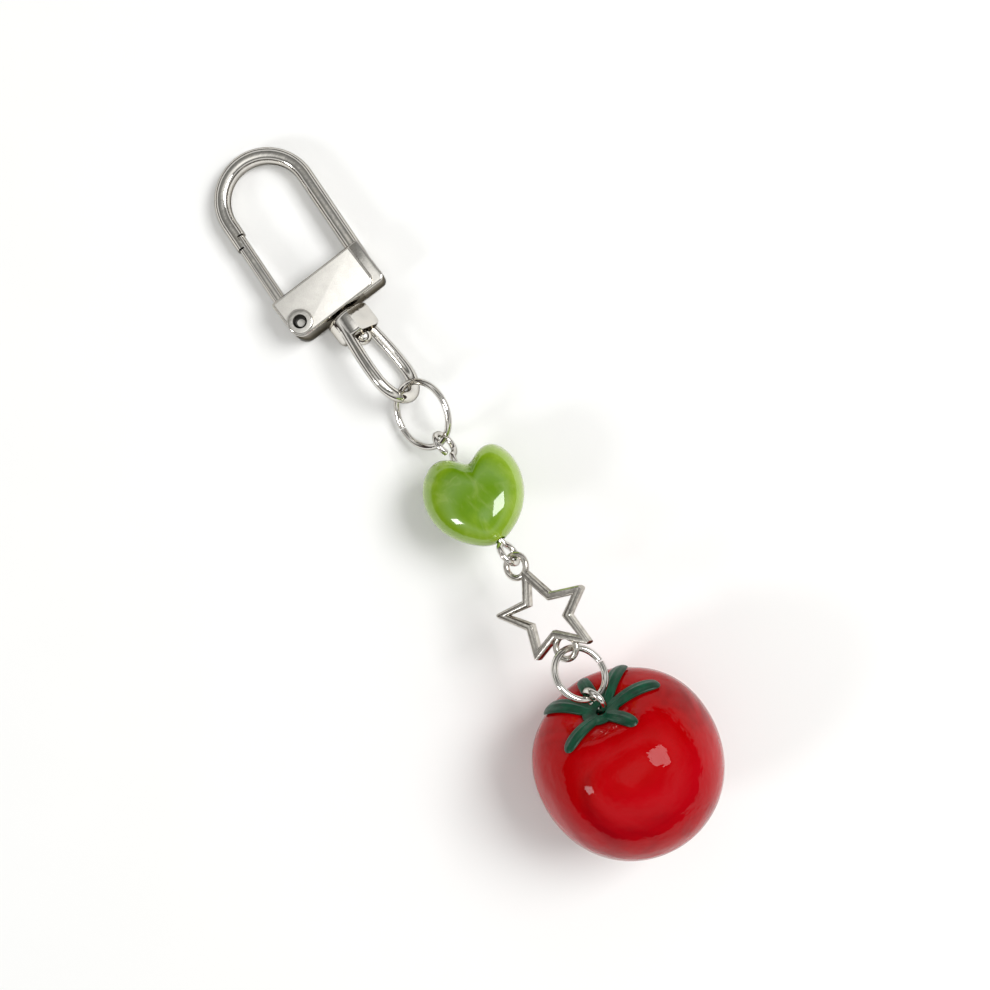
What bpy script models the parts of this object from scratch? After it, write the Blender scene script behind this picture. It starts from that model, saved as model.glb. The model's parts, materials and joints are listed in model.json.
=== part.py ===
"""A tomato bag charm: a swivel snap hook, a jump ring, a heart bead on an eye pin, an open star link,
a second jump ring and a tomato on a screw eye, as separate pieces lying on a flat surface.

Lengths are in metres. +X runs along the chain from the hook to the tomato and +Z is up. The hook rests
on the surface at Z = 0 and so does the tomato; the small links are drawn up in a line between them.

Each link is made in its own axes: x = 0 is the centre of the wire that hooks on to the link before it,
x runs along the chain, y runs across the link's plane and z is the plane's normal.
"""

from math import acos, atan2, ceil, cos, pi, radians, sin, tan

import bpy
import numpy as np
from mathutils import Matrix, Vector

MM = 0.001

# Clearances between pieces
LINK_GAP = 0.25 * MM        # between two wires that hook into each other
FIT = 0.2 * MM              # round a shaft in its hole, and under a head
BEAD_CLEARANCE = 0.3 * MM   # round the eye pin in the bead
CALYX_GAP = 0.2 * MM        # between the calyx and the tomato
CUT_WIDTH = 0.2 * MM        # the closed cut of a jump ring or an eye

# Snap hook: x = 0 is the top of the housing, the bow is on its -x side
BOX_LENGTH = 6.8 * MM
BOX_WIDTH = 15.7 * MM
BOX_THICKNESS = 5.8 * MM
BOX_CORNER = 0.9 * MM
BOX_BEVEL = 0.35 * MM
SIDE_BAR_BEVEL = 0.25 * MM
PLATE_STEP = 0.45 * MM      # how far the face plate stands above the side bar
SIDE_BAR = 1.5 * MM         # width of the side bar beside the plate
SIDE_BAR_LIP = 0.12 * MM    # how far its ends stand out past the plate's
PLATE_WALL = 1.0 * MM
FLOOR_WALL = 1.2 * MM
BOW_WIDTH = 15.7 * MM
BOW_STRAIGHT = 13.4 * MM    # from the housing to the start of the round end
BOW_LEAN = -3.5             # degrees, the bow and the gate lean against the housing
BAR_WIDTH = 2.35 * MM
BAR_DEPTH = 3.0 * MM
NOSE_GAP_START = 9.3 * MM   # the lap joint of nose and gate, measured from the housing
NOSE_GAP_END = 11.1 * MM
GATE_WIDTH = 1.85 * MM
GATE_DEPTH = 2.6 * MM
GATE_EYE_WALL = 0.45 * MM   # round the rivet

# Tubular rivet that the gate turns on
RIVET_X = 4.7 * MM
RIVET_INSET = 0.75 * MM     # from the gate's middle line towards the bow's middle
RIVET_RADIUS = 0.95 * MM
RIVET_BORE = 0.6 * MM
RIVET_FLANGE = 1.9 * MM
RIVET_MOUTH = 1.05 * MM
RIVET_FLANGE_THICKNESS = 0.45 * MM

# Gate spring: a compression coil between the gate and the far wall
SPRING_WIRE = 0.16 * MM
SPRING_RADIUS = 0.95 * MM
SPRING_TURNS = 6
SPRING_X = 1.8 * MM

# Swivel: a collar with an oval eye, and the post that holds it in the housing
COLLAR_GAP = 0.4 * MM
COLLAR_LENGTH = 3.9 * MM
COLLAR_WIDTH = 6.9 * MM
COLLAR_THICKNESS = 4.4 * MM
EYE_WIRE = 1.8 * MM
EYE_WIDTH = 9.4 * MM
EYE_REACH = 12.4 * MM       # from the collar's end to the outside of the eye
POST_RADIUS = 1.0 * MM
POST_HEAD = 1.7 * MM
POST_HEAD_THICKNESS = 0.8 * MM
POST_BUTTON = 1.25 * MM

# Links
UPPER_RING_WIDTH = 10.9 * MM
LOWER_RING_WIDTH = 8.6 * MM
RING_WIRE = 0.95 * MM
PIN_WIRE = 0.9 * MM
PIN_UPPER_LOOP = 4.6 * MM
PIN_LOWER_LOOP = 4.3 * MM
PIN_LENGTH = 22.8 * MM      # between the wire centres of its two ends
BEAD_HALF_THICKNESS = 4.25 * MM
BEAD_LONG = 6.2 * MM        # the outline's radius at its smallest, from cleft to tip
BEAD_WIDE = 5.9 * MM        # the same, across
BEAD_PLACE = 12.2 * MM      # the bead's middle along the pin
BEAD_SIDE = 0.35 * MM       # the bead's middle, sideways from the bore
BEAD_LEAN = -12.0           # degrees, the heart leans against the bore
STAR_LONG_RADIUS = 7.6 * MM
STAR_SHORT_RADIUS = 5.9 * MM
STAR_TURN = 45.0            # degrees, direction of the star's longer radius
STAR_SPIN = -13.0           # degrees, turn of the star's points
STAR_NOTCH = 0.47           # inner corners' share of the outer radius
STAR_BAR_WIDTH = 1.15 * MM
STAR_BAR_DEPTH = 1.5 * MM
STAR_LOOP = 4.2 * MM
STAR_LOOP_WIRE = 0.9 * MM
STAR_CENTRE = 10.0 * MM
STAR_LENGTH = 17.0 * MM     # between the wire centres of its two loops

# Tomato
TOMATO_RADIUS = 13.4 * MM
TOMATO_POLE = 10.0 * MM     # from the middle to the bottom of the stem dimple
DIMPLE_SPREAD = 0.5         # radians
SCREW_EYE_LOOP = 4.2 * MM
SCREW_EYE_WIRE = 0.95 * MM
SCREW_DEPTH = 7.0 * MM
SCREW_PITCH = 0.9 * MM
THREAD_HEIGHT = 0.12 * MM
CALYX_THICKNESS = 0.5 * MM
CALYX_HUB = 2.7 * MM
SEPALS = ((0, 5.8), (84, 6.4), (162, 7.8), (205, 6.2), (248, 7.3), (300, 7.1))  # degrees, mm
SEPAL_HALF_ANGLE = 0.38     # radians at the hub

# How the links lie: degrees of turn in the surface's plane and of roll about the chain
HOOK_YAW, HOOK_SIDE = 4.5, -4.45 * MM
EYE_ROLL = -56.0
UPPER_RING_YAW, UPPER_RING_ROLL, UPPER_RING_SPIN, UPPER_RING_FAR = 15.0, 40.0, -15.0, 2.0
PIN_YAW, PIN_ROLL = -2.5, -62.0
STAR_YAW, STAR_ROLL = -1.0, 30.0
LOWER_RING_YAW, LOWER_RING_ROLL, LOWER_RING_SPIN, LOWER_RING_FAR = -15.0, -30.0, 8.0, 5.0
TOMATO_YAW, TOMATO_DROOP, TOMATO_ROLL = -5.0, 31.0, 62.0

WIRE_SIDES = 8
SHARPEST_MITRE = 0.45
RING_STEPS = 40
CURVE_SAMPLES = 160
SEAT_STEPS = 18


# Shapes as lists of points and faces


def arc(centre, radius, start, end, steps):
    """Points on an arc in the x-y plane; angles in radians."""
    angles = np.linspace(start, end, steps + 1)
    return [Vector((centre + radius * cos(a), radius * sin(a), 0)) for a in angles]


def round_section(width, depth, sides=WIRE_SIDES):
    """An ellipse of the given width (in the path's plane) and depth (across it)."""
    angles = [2 * pi * (k + 0.5) / sides for k in range(sides)]
    return [(width / 2 * cos(a), depth / 2 * sin(a)) for a in angles]


def bevelled_section(width, depth, bevel):
    """A rectangle with its four corners cut off."""
    w, d = width / 2, depth / 2
    quarter = [(w, d - bevel), (w - bevel, d)]
    half = quarter + [(-u, v) for u, v in reversed(quarter)]
    return half + [(-u, -v) for u, v in half]


def sweep(path, section, closed, normal=(0, 0, 1)):
    """Carries a section along a path: u points to the path's outer side and v along the normal.
    At a corner the section is stretched along the mitre."""
    normal = Vector(normal)
    count = len(path)
    vertices = []
    for k, point in enumerate(path):
        before = path[k - 1] if closed or k > 0 else 2 * point - path[k + 1]
        after = path[(k + 1) % count] if closed or k < count - 1 else 2 * point - path[k - 1]
        step_in = (point - before).normalized()
        step_out = (after - point).normalized()
        tangent = (step_in + step_out).normalized()
        side = tangent.cross(normal).normalized()
        up = side.cross(tangent)
        mitre = 1 / max(tangent.dot(step_in), SHARPEST_MITRE)
        vertices += [point + side * u * mitre + up * v for u, v in section]
    return vertices, tube_faces(count, len(section), closed)


def tube_faces(rings, sides, closed):
    """Quads between rings of points, and flat end caps on an open path."""
    faces = []
    for i in range(rings if closed else rings - 1):
        for j in range(sides):
            a, b = i * sides + j, i * sides + (j + 1) % sides
            c, d = ((i + 1) % rings) * sides + (j + 1) % sides, ((i + 1) % rings) * sides + j
            faces.append((d, c, b, a))
    if not closed:
        faces.append(tuple(range(sides)))
        faces.append(tuple(reversed(range((rings - 1) * sides, rings * sides))))
    return faces


def turned(profile, steps=24):
    """Turns a closed (x, radius) profile about the x axis. Where the radius is 0 the points merge."""
    vertices, rows = [], []
    for x, radius in profile:
        if radius == 0:
            rows.append([len(vertices)] * steps)
            vertices.append(Vector((x, 0, 0)))
            continue
        rows.append(list(range(len(vertices), len(vertices) + steps)))
        vertices += [
            Vector((x, radius * cos(2 * pi * k / steps), radius * sin(2 * pi * k / steps)))
            for k in range(steps)
        ]
    faces = []
    for row, after in zip(rows, rows[1:] + rows[:1]):
        for k in range(steps):
            corners = (row[k], row[(k + 1) % steps], after[(k + 1) % steps], after[k])
            corners = tuple(dict.fromkeys(corners))
            if len(corners) > 2:
                faces.append(corners)
    return vertices, faces


def globe(surface, columns, rows):
    """A closed skin over surface(turn, fall): turn runs round, fall from pole to pole (0 to pi)."""
    vertices = [Vector(surface(0.0, 0.0))]
    for i in range(1, rows):
        vertices += [
            Vector(surface(2 * pi * j / columns, pi * i / rows)) for j in range(columns)
        ]
    vertices.append(Vector(surface(0.0, pi)))
    last = len(vertices) - 1
    faces = []
    for j in range(columns):
        after = (j + 1) % columns
        faces.append((0, 1 + j, 1 + after))
        for i in range(rows - 2):
            low, high = 1 + i * columns, 1 + (i + 1) * columns
            faces.append((low + j, high + j, high + after, low + after))
        foot = 1 + (rows - 2) * columns
        faces.append((last, foot + after, foot + j))
    return vertices, faces


def slab(outline, low, high):
    """An outline in the x-y plane, given counter-clockwise, extruded from low to high."""
    count = len(outline)
    vertices = [Vector((x, y, low)) for x, y in outline] + [Vector((x, y, high)) for x, y in outline]
    faces = [tuple(reversed(range(count))), tuple(range(count, 2 * count))]
    for k in range(count):
        after = (k + 1) % count
        faces.append((k, after, count + after, count + k))
    return vertices, faces


def block(low, high):
    """A box between two corners."""
    outline = [(low[0], low[1]), (high[0], low[1]), (high[0], high[1]), (low[0], high[1])]
    return slab(outline, low[2], high[2])


def rounded(corners, steps=3):
    """An outline through (x, y, radius) corners, given counter-clockwise, with round corners."""
    outline = []
    count = len(corners)
    for k, (x, y, radius) in enumerate(corners):
        here = Vector((x, y))
        back = (Vector(corners[k - 1][:2]) - here).normalized()
        on = (Vector(corners[(k + 1) % count][:2]) - here).normalized()
        half = acos(max(-1, min(1, back.dot(on)))) / 2
        centre = here + (back + on).normalized() * radius / sin(half)
        first = here + back * radius / tan(half) - centre
        for i in range(steps + 1):
            turn = Matrix.Rotation((pi - 2 * half) * i / steps, 2)
            outline.append(tuple(centre + turn @ first))
    return outline


# Blender objects


def clear_scene():
    for obj in list(bpy.data.objects):
        bpy.data.objects.remove(obj, do_unlink=True)


def material(name, colour, metallic, roughness):
    made = bpy.data.materials.new(name)
    made.use_nodes = True
    shader = made.node_tree.nodes["Principled BSDF"]
    shader.inputs["Base Color"].default_value = (*colour, 1)
    shader.inputs["Metallic"].default_value = metallic
    shader.inputs["Roughness"].default_value = roughness
    return made


def solid(name, shape, parent, finish, place=None, crease=35.0):
    """A named object of one closed shape, under its parent empty."""
    vertices, faces = shape
    mesh = bpy.data.meshes.new(name)
    mesh.from_pydata([tuple(v) for v in vertices], [], faces)
    mesh.shade_smooth()
    mesh.set_sharp_from_angle(angle=radians(crease))
    mesh.materials.append(finish)
    obj = bpy.data.objects.new(name, mesh)
    bpy.context.scene.collection.objects.link(obj)
    obj.parent = parent
    obj.matrix_local = place or Matrix()
    return obj


def helper(name, shape, parent, place=None):
    """A cutter or an added shape for a Boolean, left out of the render."""
    obj = solid(name, shape, parent, None, place)
    obj.hide_render = True
    obj.display_type = "WIRE"
    return obj


def combine(obj, operation, *others):
    for other in others:
        modifier = obj.modifiers.new(other.name, "BOOLEAN")
        modifier.operation = operation
        modifier.object = other


def bevel(obj, width):
    modifier = obj.modifiers.new("edges", "BEVEL")
    modifier.width = width
    modifier.segments = 1
    modifier.limit_method = "ANGLE"
    modifier.angle_limit = radians(50)


def empty(name, parent, place):
    """An empty whose z axis is a joint's axis, placed in its parent's axes."""
    obj = bpy.data.objects.new(name, None)
    obj.empty_display_size = 2 * MM
    bpy.context.scene.collection.objects.link(obj)
    obj.parent = parent
    obj.matrix_local = place
    return obj


# Where the links lie


def turn(yaw, pitch, roll, spin=0.0):
    """The axes of a link, in degrees, from its heading, its climb, its roll about the chain and its
    spin in its own plane."""
    return (
        Matrix.Rotation(radians(yaw), 4, "Z")
        @ Matrix.Rotation(-radians(pitch), 4, "Y")
        @ Matrix.Rotation(radians(roll), 4, "X")
        @ Matrix.Rotation(radians(spin), 4, "Z")
    )


def closest(first, second):
    """The least distance between two sampled curves."""
    a, b = (np.array([tuple(p) for p in points]) for points in (first, second))
    return np.sqrt(((a[:, None] - b[None]) ** 2).sum(axis=2).min())


def seat(held, contact, axes, loop_radius, distance):
    """How far the next link's wire lies behind the contact point, so that its loop's wire comes to
    the given distance from the held wire. The distance is halved into, between 0 and a loop's width."""
    circle = arc(loop_radius, loop_radius, 0, 2 * pi, CURVE_SAMPLES)
    low, high = 0.0, 2.2 * distance
    for _ in range(SEAT_STEPS):
        back = (low + high) / 2
        placed = Matrix.Translation(contact) @ axes @ Matrix.Translation((-back, 0, 0))
        if closest(held, [placed @ p for p in circle]) < distance:
            low = back
        else:
            high = back
    return high


def hook_axes():
    """The hook rests on the edge of its housing and on the end of its bow."""
    bow_end = BOW_STRAIGHT + BOW_WIDTH / 2
    pitch = atan2((BOX_THICKNESS - BAR_DEPTH) / 2, bow_end)
    place = Matrix.Translation((0, HOOK_SIDE, BOX_THICKNESS / 2 * cos(pitch)))
    return place @ turn(HOOK_YAW, pitch * 180 / pi, 0)


def hang(before, held, contact, axes, loop_radius, wire_before, wire):
    """The place of a link that hooks into the one before: the joint's point and the link's matrix."""
    world_held = [before @ p for p in held]
    point = before @ contact
    distance = (wire_before + wire) / 2 + LINK_GAP
    back = seat(world_held, point, axes, loop_radius, distance)
    return point, Matrix.Translation(point) @ axes @ Matrix.Translation((-back, 0, 0))


def joint_axes(point, direction):
    """An empty's matrix with z along the joint's axis."""
    return Matrix.Translation(point) @ direction.to_track_quat("Z", "Y").to_matrix().to_4x4()


def ring_radius(width):
    return (width - RING_WIRE) / 2


def far_point(radius, angle):
    """The place on a ring's wire that holds the next link, and the wire's direction there."""
    a = radians(angle)
    return Vector((radius + radius * cos(a), radius * sin(a), 0)), Vector((-sin(a), cos(a), 0))


def eye_curve():
    """The swivel eye's centreline, in the swivel's axes with x = 0 at the housing's foot."""
    half = (EYE_WIDTH - EYE_WIRE) / 2
    foot = COLLAR_GAP + COLLAR_LENGTH * 0.55
    end = COLLAR_GAP + COLLAR_LENGTH + EYE_REACH - EYE_WIRE / 2
    neck = (COLLAR_WIDTH - EYE_WIRE) / 2
    middle = end - half * 1.12
    steps = 9
    side = [
        Vector((foot + (middle - foot) * t, neck + (half - neck) * sin(t * pi / 2), 0))
        for t in [k / steps for k in range(steps)]
    ]
    tip = [
        Vector((middle + (end - middle) * sin(a), half * cos(a), 0))
        for a in [pi * k / 16 for k in range(17)]
    ]
    return side + tip + [Vector((p.x, -p.y, 0)) for p in reversed(side)]


def lay_links(climb):
    """Every link's joint point, joint axis and matrix, with the chain climbing at this angle."""
    across = Vector((0, 1, 0))
    hook = hook_axes()
    swivel = hook @ Matrix.Translation((BOX_LENGTH, 0, 0)) @ Matrix.Rotation(radians(EYE_ROLL), 4, "X")
    eye = eye_curve()
    end = max(eye, key=lambda p: p.x)
    links = {}

    def add(name, before, held, contact, along, axes, loop_radius, wire_before, wire):
        point, place = hang(before, held, contact, axes, loop_radius, wire_before, wire)
        links[name] = (point, before.to_3x3() @ along, place)
        return place

    upper, lower = ring_radius(UPPER_RING_WIDTH), ring_radius(LOWER_RING_WIDTH)
    pin_first, pin_last = (PIN_UPPER_LOOP - PIN_WIRE) / 2, (PIN_LOWER_LOOP - PIN_WIRE) / 2
    star_loop = (STAR_LOOP - STAR_LOOP_WIRE) / 2
    screw_loop = (SCREW_EYE_LOOP - SCREW_EYE_WIRE) / 2

    ring = add("upper_ring", swivel, eye, end, across,
               turn(UPPER_RING_YAW, climb, UPPER_RING_ROLL, UPPER_RING_SPIN), upper, EYE_WIRE, RING_WIRE)
    point, along = far_point(upper, UPPER_RING_FAR)
    pin = add("eye_pin", ring, arc(upper, upper, 0, 2 * pi, CURVE_SAMPLES), point, along,
              turn(PIN_YAW, climb, PIN_ROLL), pin_first, RING_WIRE, PIN_WIRE)
    held = arc(PIN_LENGTH - pin_last, pin_last, -pi, pi, CURVE_SAMPLES)
    star = add("star", pin, held, Vector((PIN_LENGTH, 0, 0)), across,
               turn(STAR_YAW, climb, STAR_ROLL), star_loop, PIN_WIRE, STAR_LOOP_WIRE)
    held = arc(STAR_LENGTH - star_loop, star_loop, -pi, pi, CURVE_SAMPLES)
    ring = add("lower_ring", star, held, Vector((STAR_LENGTH, 0, 0)), across,
               turn(LOWER_RING_YAW, climb, LOWER_RING_ROLL, LOWER_RING_SPIN), lower, STAR_LOOP_WIRE, RING_WIRE)
    point, along = far_point(lower, LOWER_RING_FAR)
    add("drop", ring, arc(lower, lower, 0, 2 * pi, CURVE_SAMPLES), point, along,
        turn(TOMATO_YAW, -TOMATO_DROOP, TOMATO_ROLL), screw_loop, RING_WIRE, SCREW_EYE_WIRE)
    return hook, swivel, links


def neck():
    """From the wire centre at the eye's foot to the skin: room for the calyx under the eye."""
    return SCREW_EYE_WIRE / 2 + FIT + CALYX_THICKNESS + CALYX_GAP


def tomato_centre():
    """The tomato's middle along its screw eye, from the eye's near wire."""
    return SCREW_EYE_LOOP - SCREW_EYE_WIRE + neck() + TOMATO_POLE


def laid_out():
    """The links drawn up at the angle that leaves the tomato resting on the surface."""
    low, high = 0.0, 40.0
    for _ in range(SEAT_STEPS):
        climb = (low + high) / 2
        hook, swivel, links = lay_links(climb)
        height = (links["drop"][2] @ Vector((tomato_centre(), 0, 0))).z
        low, high = (climb, high) if height < TOMATO_RADIUS else (low, climb)
    return hook, swivel, links


# Snap hook


def gate_side():
    """The middle line of the gate and of the bow's leg above it, sideways."""
    return -(BOW_WIDTH - BAR_WIDTH) / 2


def rivet_side():
    """The rivet's middle, sideways: a little inside the gate's bar."""
    return gate_side() + RIVET_INSET


def leaning():
    """The lean of the bow and the gate against the housing, about the housing's middle."""
    middle = Matrix.Translation((BOX_LENGTH / 2, 0, 0))
    return middle @ Matrix.Rotation(radians(BOW_LEAN), 4, "Z") @ middle.inverted()


def slot_half():
    """Half the thickness of the room inside the housing."""
    return BOX_THICKNESS / 2 - PLATE_WALL


def gate_eye_radius():
    return RIVET_RADIUS + FIT + GATE_EYE_WALL


def hook_body(frame, finish):
    """The cast housing with its bow: hollow, open at the top and at the gate's side."""
    low = -BOX_WIDTH / 2
    high = BOX_WIDTH / 2
    plate = high - SIDE_BAR
    half = BOX_THICKNESS / 2
    corner = BOX_CORNER
    outline = rounded([(0, low, corner / 2), (BOX_LENGTH, low, 2 * corner),
                       (BOX_LENGTH, plate, 1.5 * corner), (0, plate, corner / 2)])
    body = solid("hook_body", slab(outline, -half, half), frame, finish)
    bevel(body, BOX_BEVEL)

    foot, top = BOX_LENGTH + SIDE_BAR_LIP, -SIDE_BAR_LIP
    bar = rounded([(top, plate - 3 * corner, corner / 3), (foot, plate - 3 * corner, corner / 3),
                   (foot, high, corner), (top, high, corner / 3)])
    side_bar = helper("side_bar_shape", slab(bar, PLATE_STEP - half, half - PLATE_STEP), frame)
    bevel(side_bar, SIDE_BAR_BEVEL)

    radius = -gate_side()
    path = [Vector((BOX_LENGTH / 2, radius, 0)), Vector((-BOW_STRAIGHT, radius, 0))]
    path += arc(-BOW_STRAIGHT, radius, pi / 2, 3 * pi / 2, 16)[1:]
    path += [Vector((-NOSE_GAP_START, -radius, 0))]
    bow = helper("bow_shape", sweep(path, round_bar_section(BAR_WIDTH, BAR_DEPTH), False), frame,
                 leaning())
    edge = BAR_WIDTH
    lap = block((-NOSE_GAP_END, -radius, -edge * 2), (0, -radius + edge, edge * 2))
    lap_cut = helper("nose_lap_cut", lap, frame, leaning())

    room = slot_half()
    hollow = helper("hollow_cut", block((-corner, low - corner, -room),
                                        (BOX_LENGTH - FLOOR_WALL, plate - 2 * corner, room)), frame)
    pocket = gate_eye_radius() + FIT
    gate_pocket = helper("gate_pocket_cut", turned([(-room, 0), (-room, pocket), (room, pocket),
                                                    (room, 0)]), frame, across_at(RIVET_X, rivet_side()))
    wide = 2 * BOX_THICKNESS
    pin = RIVET_RADIUS + FIT
    rivet_hole = helper("rivet_hole_cut", turned([(-wide, 0), (-wide, pin), (wide, pin), (wide, 0)], 20),
                        frame, across_at(RIVET_X, rivet_side()))
    post = POST_RADIUS + FIT
    post_hole = helper("post_hole_cut", turned([(0, 0), (0, post), (BOX_LENGTH * 2, post),
                                                (BOX_LENGTH * 2, 0)], 20), frame,
                       Matrix.Translation((BOX_LENGTH / 2, 0, 0)))
    combine(body, "UNION", side_bar, bow)
    combine(body, "DIFFERENCE", hollow, gate_pocket, lap_cut, rivet_hole, post_hole)


def round_bar_section(width, depth):
    """A bar with flat inner and outer faces and well rounded edges."""
    w, d = width / 2, depth / 2
    quarter = [(w, d * 0.45), (w * 0.85, d * 0.8), (w * 0.45, d)]
    half = quarter + [(-u, v) for u, v in reversed(quarter)]
    return half + [(-u, -v) for u, v in half]


def across_at(x, y):
    """Stands a shape turned about x upright, through the housing's thickness."""
    return Matrix.Translation((x, y, 0)) @ Matrix.Rotation(-pi / 2, 4, "Y")


def gate(hinge, finish):
    """The gate's bar with its lapped tip and its eye round the rivet, in the hinge's axes."""
    in_hinge = Matrix.Translation((-RIVET_X, -rivet_side(), 0)) @ leaning()
    bar = [in_hinge @ Vector((x, gate_side(), 0)) for x in (FIT - NOSE_GAP_END, 0, RIVET_X)]
    piece = solid("gate", sweep(bar, round_bar_section(GATE_WIDTH, GATE_DEPTH), False), hinge, finish)
    outer, thick = gate_eye_radius(), slot_half() - FIT
    eye = helper("gate_eye_shape", turned([(-thick, 0), (-thick, outer), (thick, outer), (thick, 0)]),
                 hinge, across_at(0, 0))
    bore = RIVET_RADIUS + FIT
    hole = helper("gate_hole_cut", turned([(-GATE_DEPTH, 0), (-GATE_DEPTH, bore),
                                           (GATE_DEPTH, bore), (GATE_DEPTH, 0)], 20),
                  hinge, across_at(0, 0))
    lap = block((-2 * NOSE_GAP_END, gate_side() - GATE_WIDTH, -GATE_DEPTH),
                (FIT - NOSE_GAP_START, gate_side() + FIT, GATE_DEPTH))
    combine(piece, "UNION", eye)
    combine(piece, "DIFFERENCE", hole, helper("gate_lap_cut", lap, hinge, in_hinge))


def gate_rivet(frame, finish):
    """A tubular rivet through the housing, flared open at both ends."""
    under = BOX_THICKNESS / 2 + FIT / 2
    top = under + RIVET_FLANGE_THICKNESS
    half = [(under, RIVET_RADIUS), (under, RIVET_FLANGE), (top - RIVET_FLANGE_THICKNESS / 3, RIVET_FLANGE),
            (top, RIVET_FLANGE * 0.85), (top, RIVET_MOUTH), (top - RIVET_MOUTH, RIVET_BORE)]
    profile = [(-x, r) for x, r in reversed(half)] + half
    solid("gate_rivet", turned(profile), frame, finish, across_at(RIVET_X, rivet_side()))


def gate_spring(frame, finish):
    """A compression coil that lies across the housing and presses on the gate's inner face."""
    start = gate_side() + GATE_WIDTH / 2 + FIT + SPRING_WIRE
    wall = BOX_WIDTH / 2 - SIDE_BAR - 2 * BOX_CORNER
    length = wall - FIT - SPRING_WIRE - start
    steps = 10
    path = []
    for k in range(SPRING_TURNS * steps + 1):
        a = 2 * pi * k / steps
        path.append(Vector((SPRING_RADIUS * cos(a), start + length * k / (SPRING_TURNS * steps),
                            SPRING_RADIUS * sin(a))))
    solid("gate_spring", sweep(path, round_section(2 * SPRING_WIRE, 2 * SPRING_WIRE, 6), False, (0, 1, 0)),
          frame, finish, Matrix.Translation((SPRING_X, 0, 0)))


def swivel_post(swivel, finish):
    """The rivet that ties the eye to the housing: a head inside the housing, a button in the eye."""
    head = -FLOOR_WALL - FIT
    collar = COLLAR_GAP + COLLAR_LENGTH + FIT
    button = POST_BUTTON
    profile = [(head - POST_HEAD_THICKNESS, 0), (head - POST_HEAD_THICKNESS, POST_HEAD), (head, POST_HEAD),
               (head, POST_RADIUS), (collar, POST_RADIUS), (collar, button),
               (collar + button * 0.6, button * 0.85), (collar + button, button * 0.4),
               (collar + button * 1.1, 0)]
    solid("swivel_post", turned(profile, 20), swivel, finish)


def swivel_eye(swivel, finish):
    """A collar with two flats and the oval eye cast on it; the post passes through the collar."""
    start, end = COLLAR_GAP, COLLAR_GAP + COLLAR_LENGTH
    slope = COLLAR_LENGTH * 0.2
    radius = COLLAR_WIDTH / 2
    profile = [(start, 0), (start, radius * 0.8), (start + slope, radius), (end - slope, radius),
               (end, radius * 0.8), (end, 0)]
    piece = solid("swivel_eye", turned(profile), swivel, finish)
    flat = COLLAR_THICKNESS / 2
    cuts = [
        helper(f"collar_flat_cut_{side}",
               block((0, -COLLAR_WIDTH, low), (2 * COLLAR_LENGTH, COLLAR_WIDTH, high)), swivel)
        for side, low, high in (("top", flat, 3 * flat), ("bottom", -3 * flat, -flat))
    ]
    eye = helper("eye_shape", sweep(eye_curve(), round_section(EYE_WIRE, EYE_WIRE), False), swivel)
    bore = POST_RADIUS + FIT
    hole = helper("collar_bore_cut", turned([(0, 0), (0, bore), (2 * COLLAR_LENGTH, bore),
                                             (2 * COLLAR_LENGTH, 0)], 20), swivel)
    combine(piece, "DIFFERENCE", *cuts)
    combine(piece, "UNION", eye)
    combine(piece, "DIFFERENCE", hole)


# Links


def jump_ring(name, joint, place, width, cut_angle, finish):
    """A round wire ring with its closed cut at the given angle."""
    radius = ring_radius(width)
    cut = CUT_WIDTH / radius
    start = radians(cut_angle)
    path = arc(radius, radius, start + cut / 2, start + 2 * pi - cut / 2, RING_STEPS)
    solid(name, sweep(path, round_section(RING_WIRE, RING_WIRE), False), joint, finish, place)


def eye_pin(joint, place, finish):
    """A straight wire with a loop turned at each end, each closed back on to the wire."""
    first, last = (PIN_UPPER_LOOP - PIN_WIRE) / 2, (PIN_LOWER_LOOP - PIN_WIRE) / 2
    steps = 22
    path = looped_end(first, steps)
    path += [Vector((PIN_LENGTH - p.x, p.y, 0)) for p in reversed(looped_end(last, steps))]
    solid("eye_pin", sweep(path, round_section(PIN_WIRE, PIN_WIRE), False), joint, finish, place)


def looped_end(radius, steps):
    """A loop from its cut end round to the straight wire: the circle starts a wire's width off the
    pin's line and ends on a short bend that leads into it."""
    spare = 2 * (PIN_WIRE / 2 + CUT_WIDTH) / radius
    loop = arc(radius, radius, -spare * 0.75, -2 * pi + spare * 0.25, steps)
    bend = Vector((2 * radius + PIN_WIRE, 0, 0))
    return loop + [bend]


def bead_outline(angle):
    """The heart's outline at an angle from its tip, as a share of its size: it swells towards the
    lobes and dips in the cleft."""
    away = abs(atan2(sin(angle), cos(angle)))
    swell = 0.54 * ((1 - cos(away)) / 2) ** 2
    tip = 0.09 * np.exp(-((away / 0.44) ** 2))
    cleft = 0.6 * np.exp(-(((pi - away) / 0.35) ** 2))
    return 1 + swell + tip - cleft


def heart_bead(joint, place, finish):
    """A puffed heart, its outline shrinking towards its two faces, bored from cleft to tip."""

    def surface(angle, fall):
        share = bead_outline(angle) * sin(fall) ** 0.8
        return (BEAD_LONG * share * cos(angle), BEAD_WIDE * share * sin(angle),
                BEAD_HALF_THICKNESS * cos(fall))

    off_bore = Matrix.Translation((0, BEAD_SIDE, 0)) @ Matrix.Rotation(radians(BEAD_LEAN), 4, "Z")
    piece = solid("heart_bead", globe(surface, 48, 14), joint, finish, place @ off_bore, 60)
    bore = PIN_WIRE / 2 + BEAD_CLEARANCE
    reach = 2 * BEAD_LONG
    hole = helper("bead_bore_cut", turned([(-reach, 0), (-reach, bore), (reach, bore), (reach, 0)], 12),
                  joint, place)
    combine(piece, "DIFFERENCE", hole)


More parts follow.
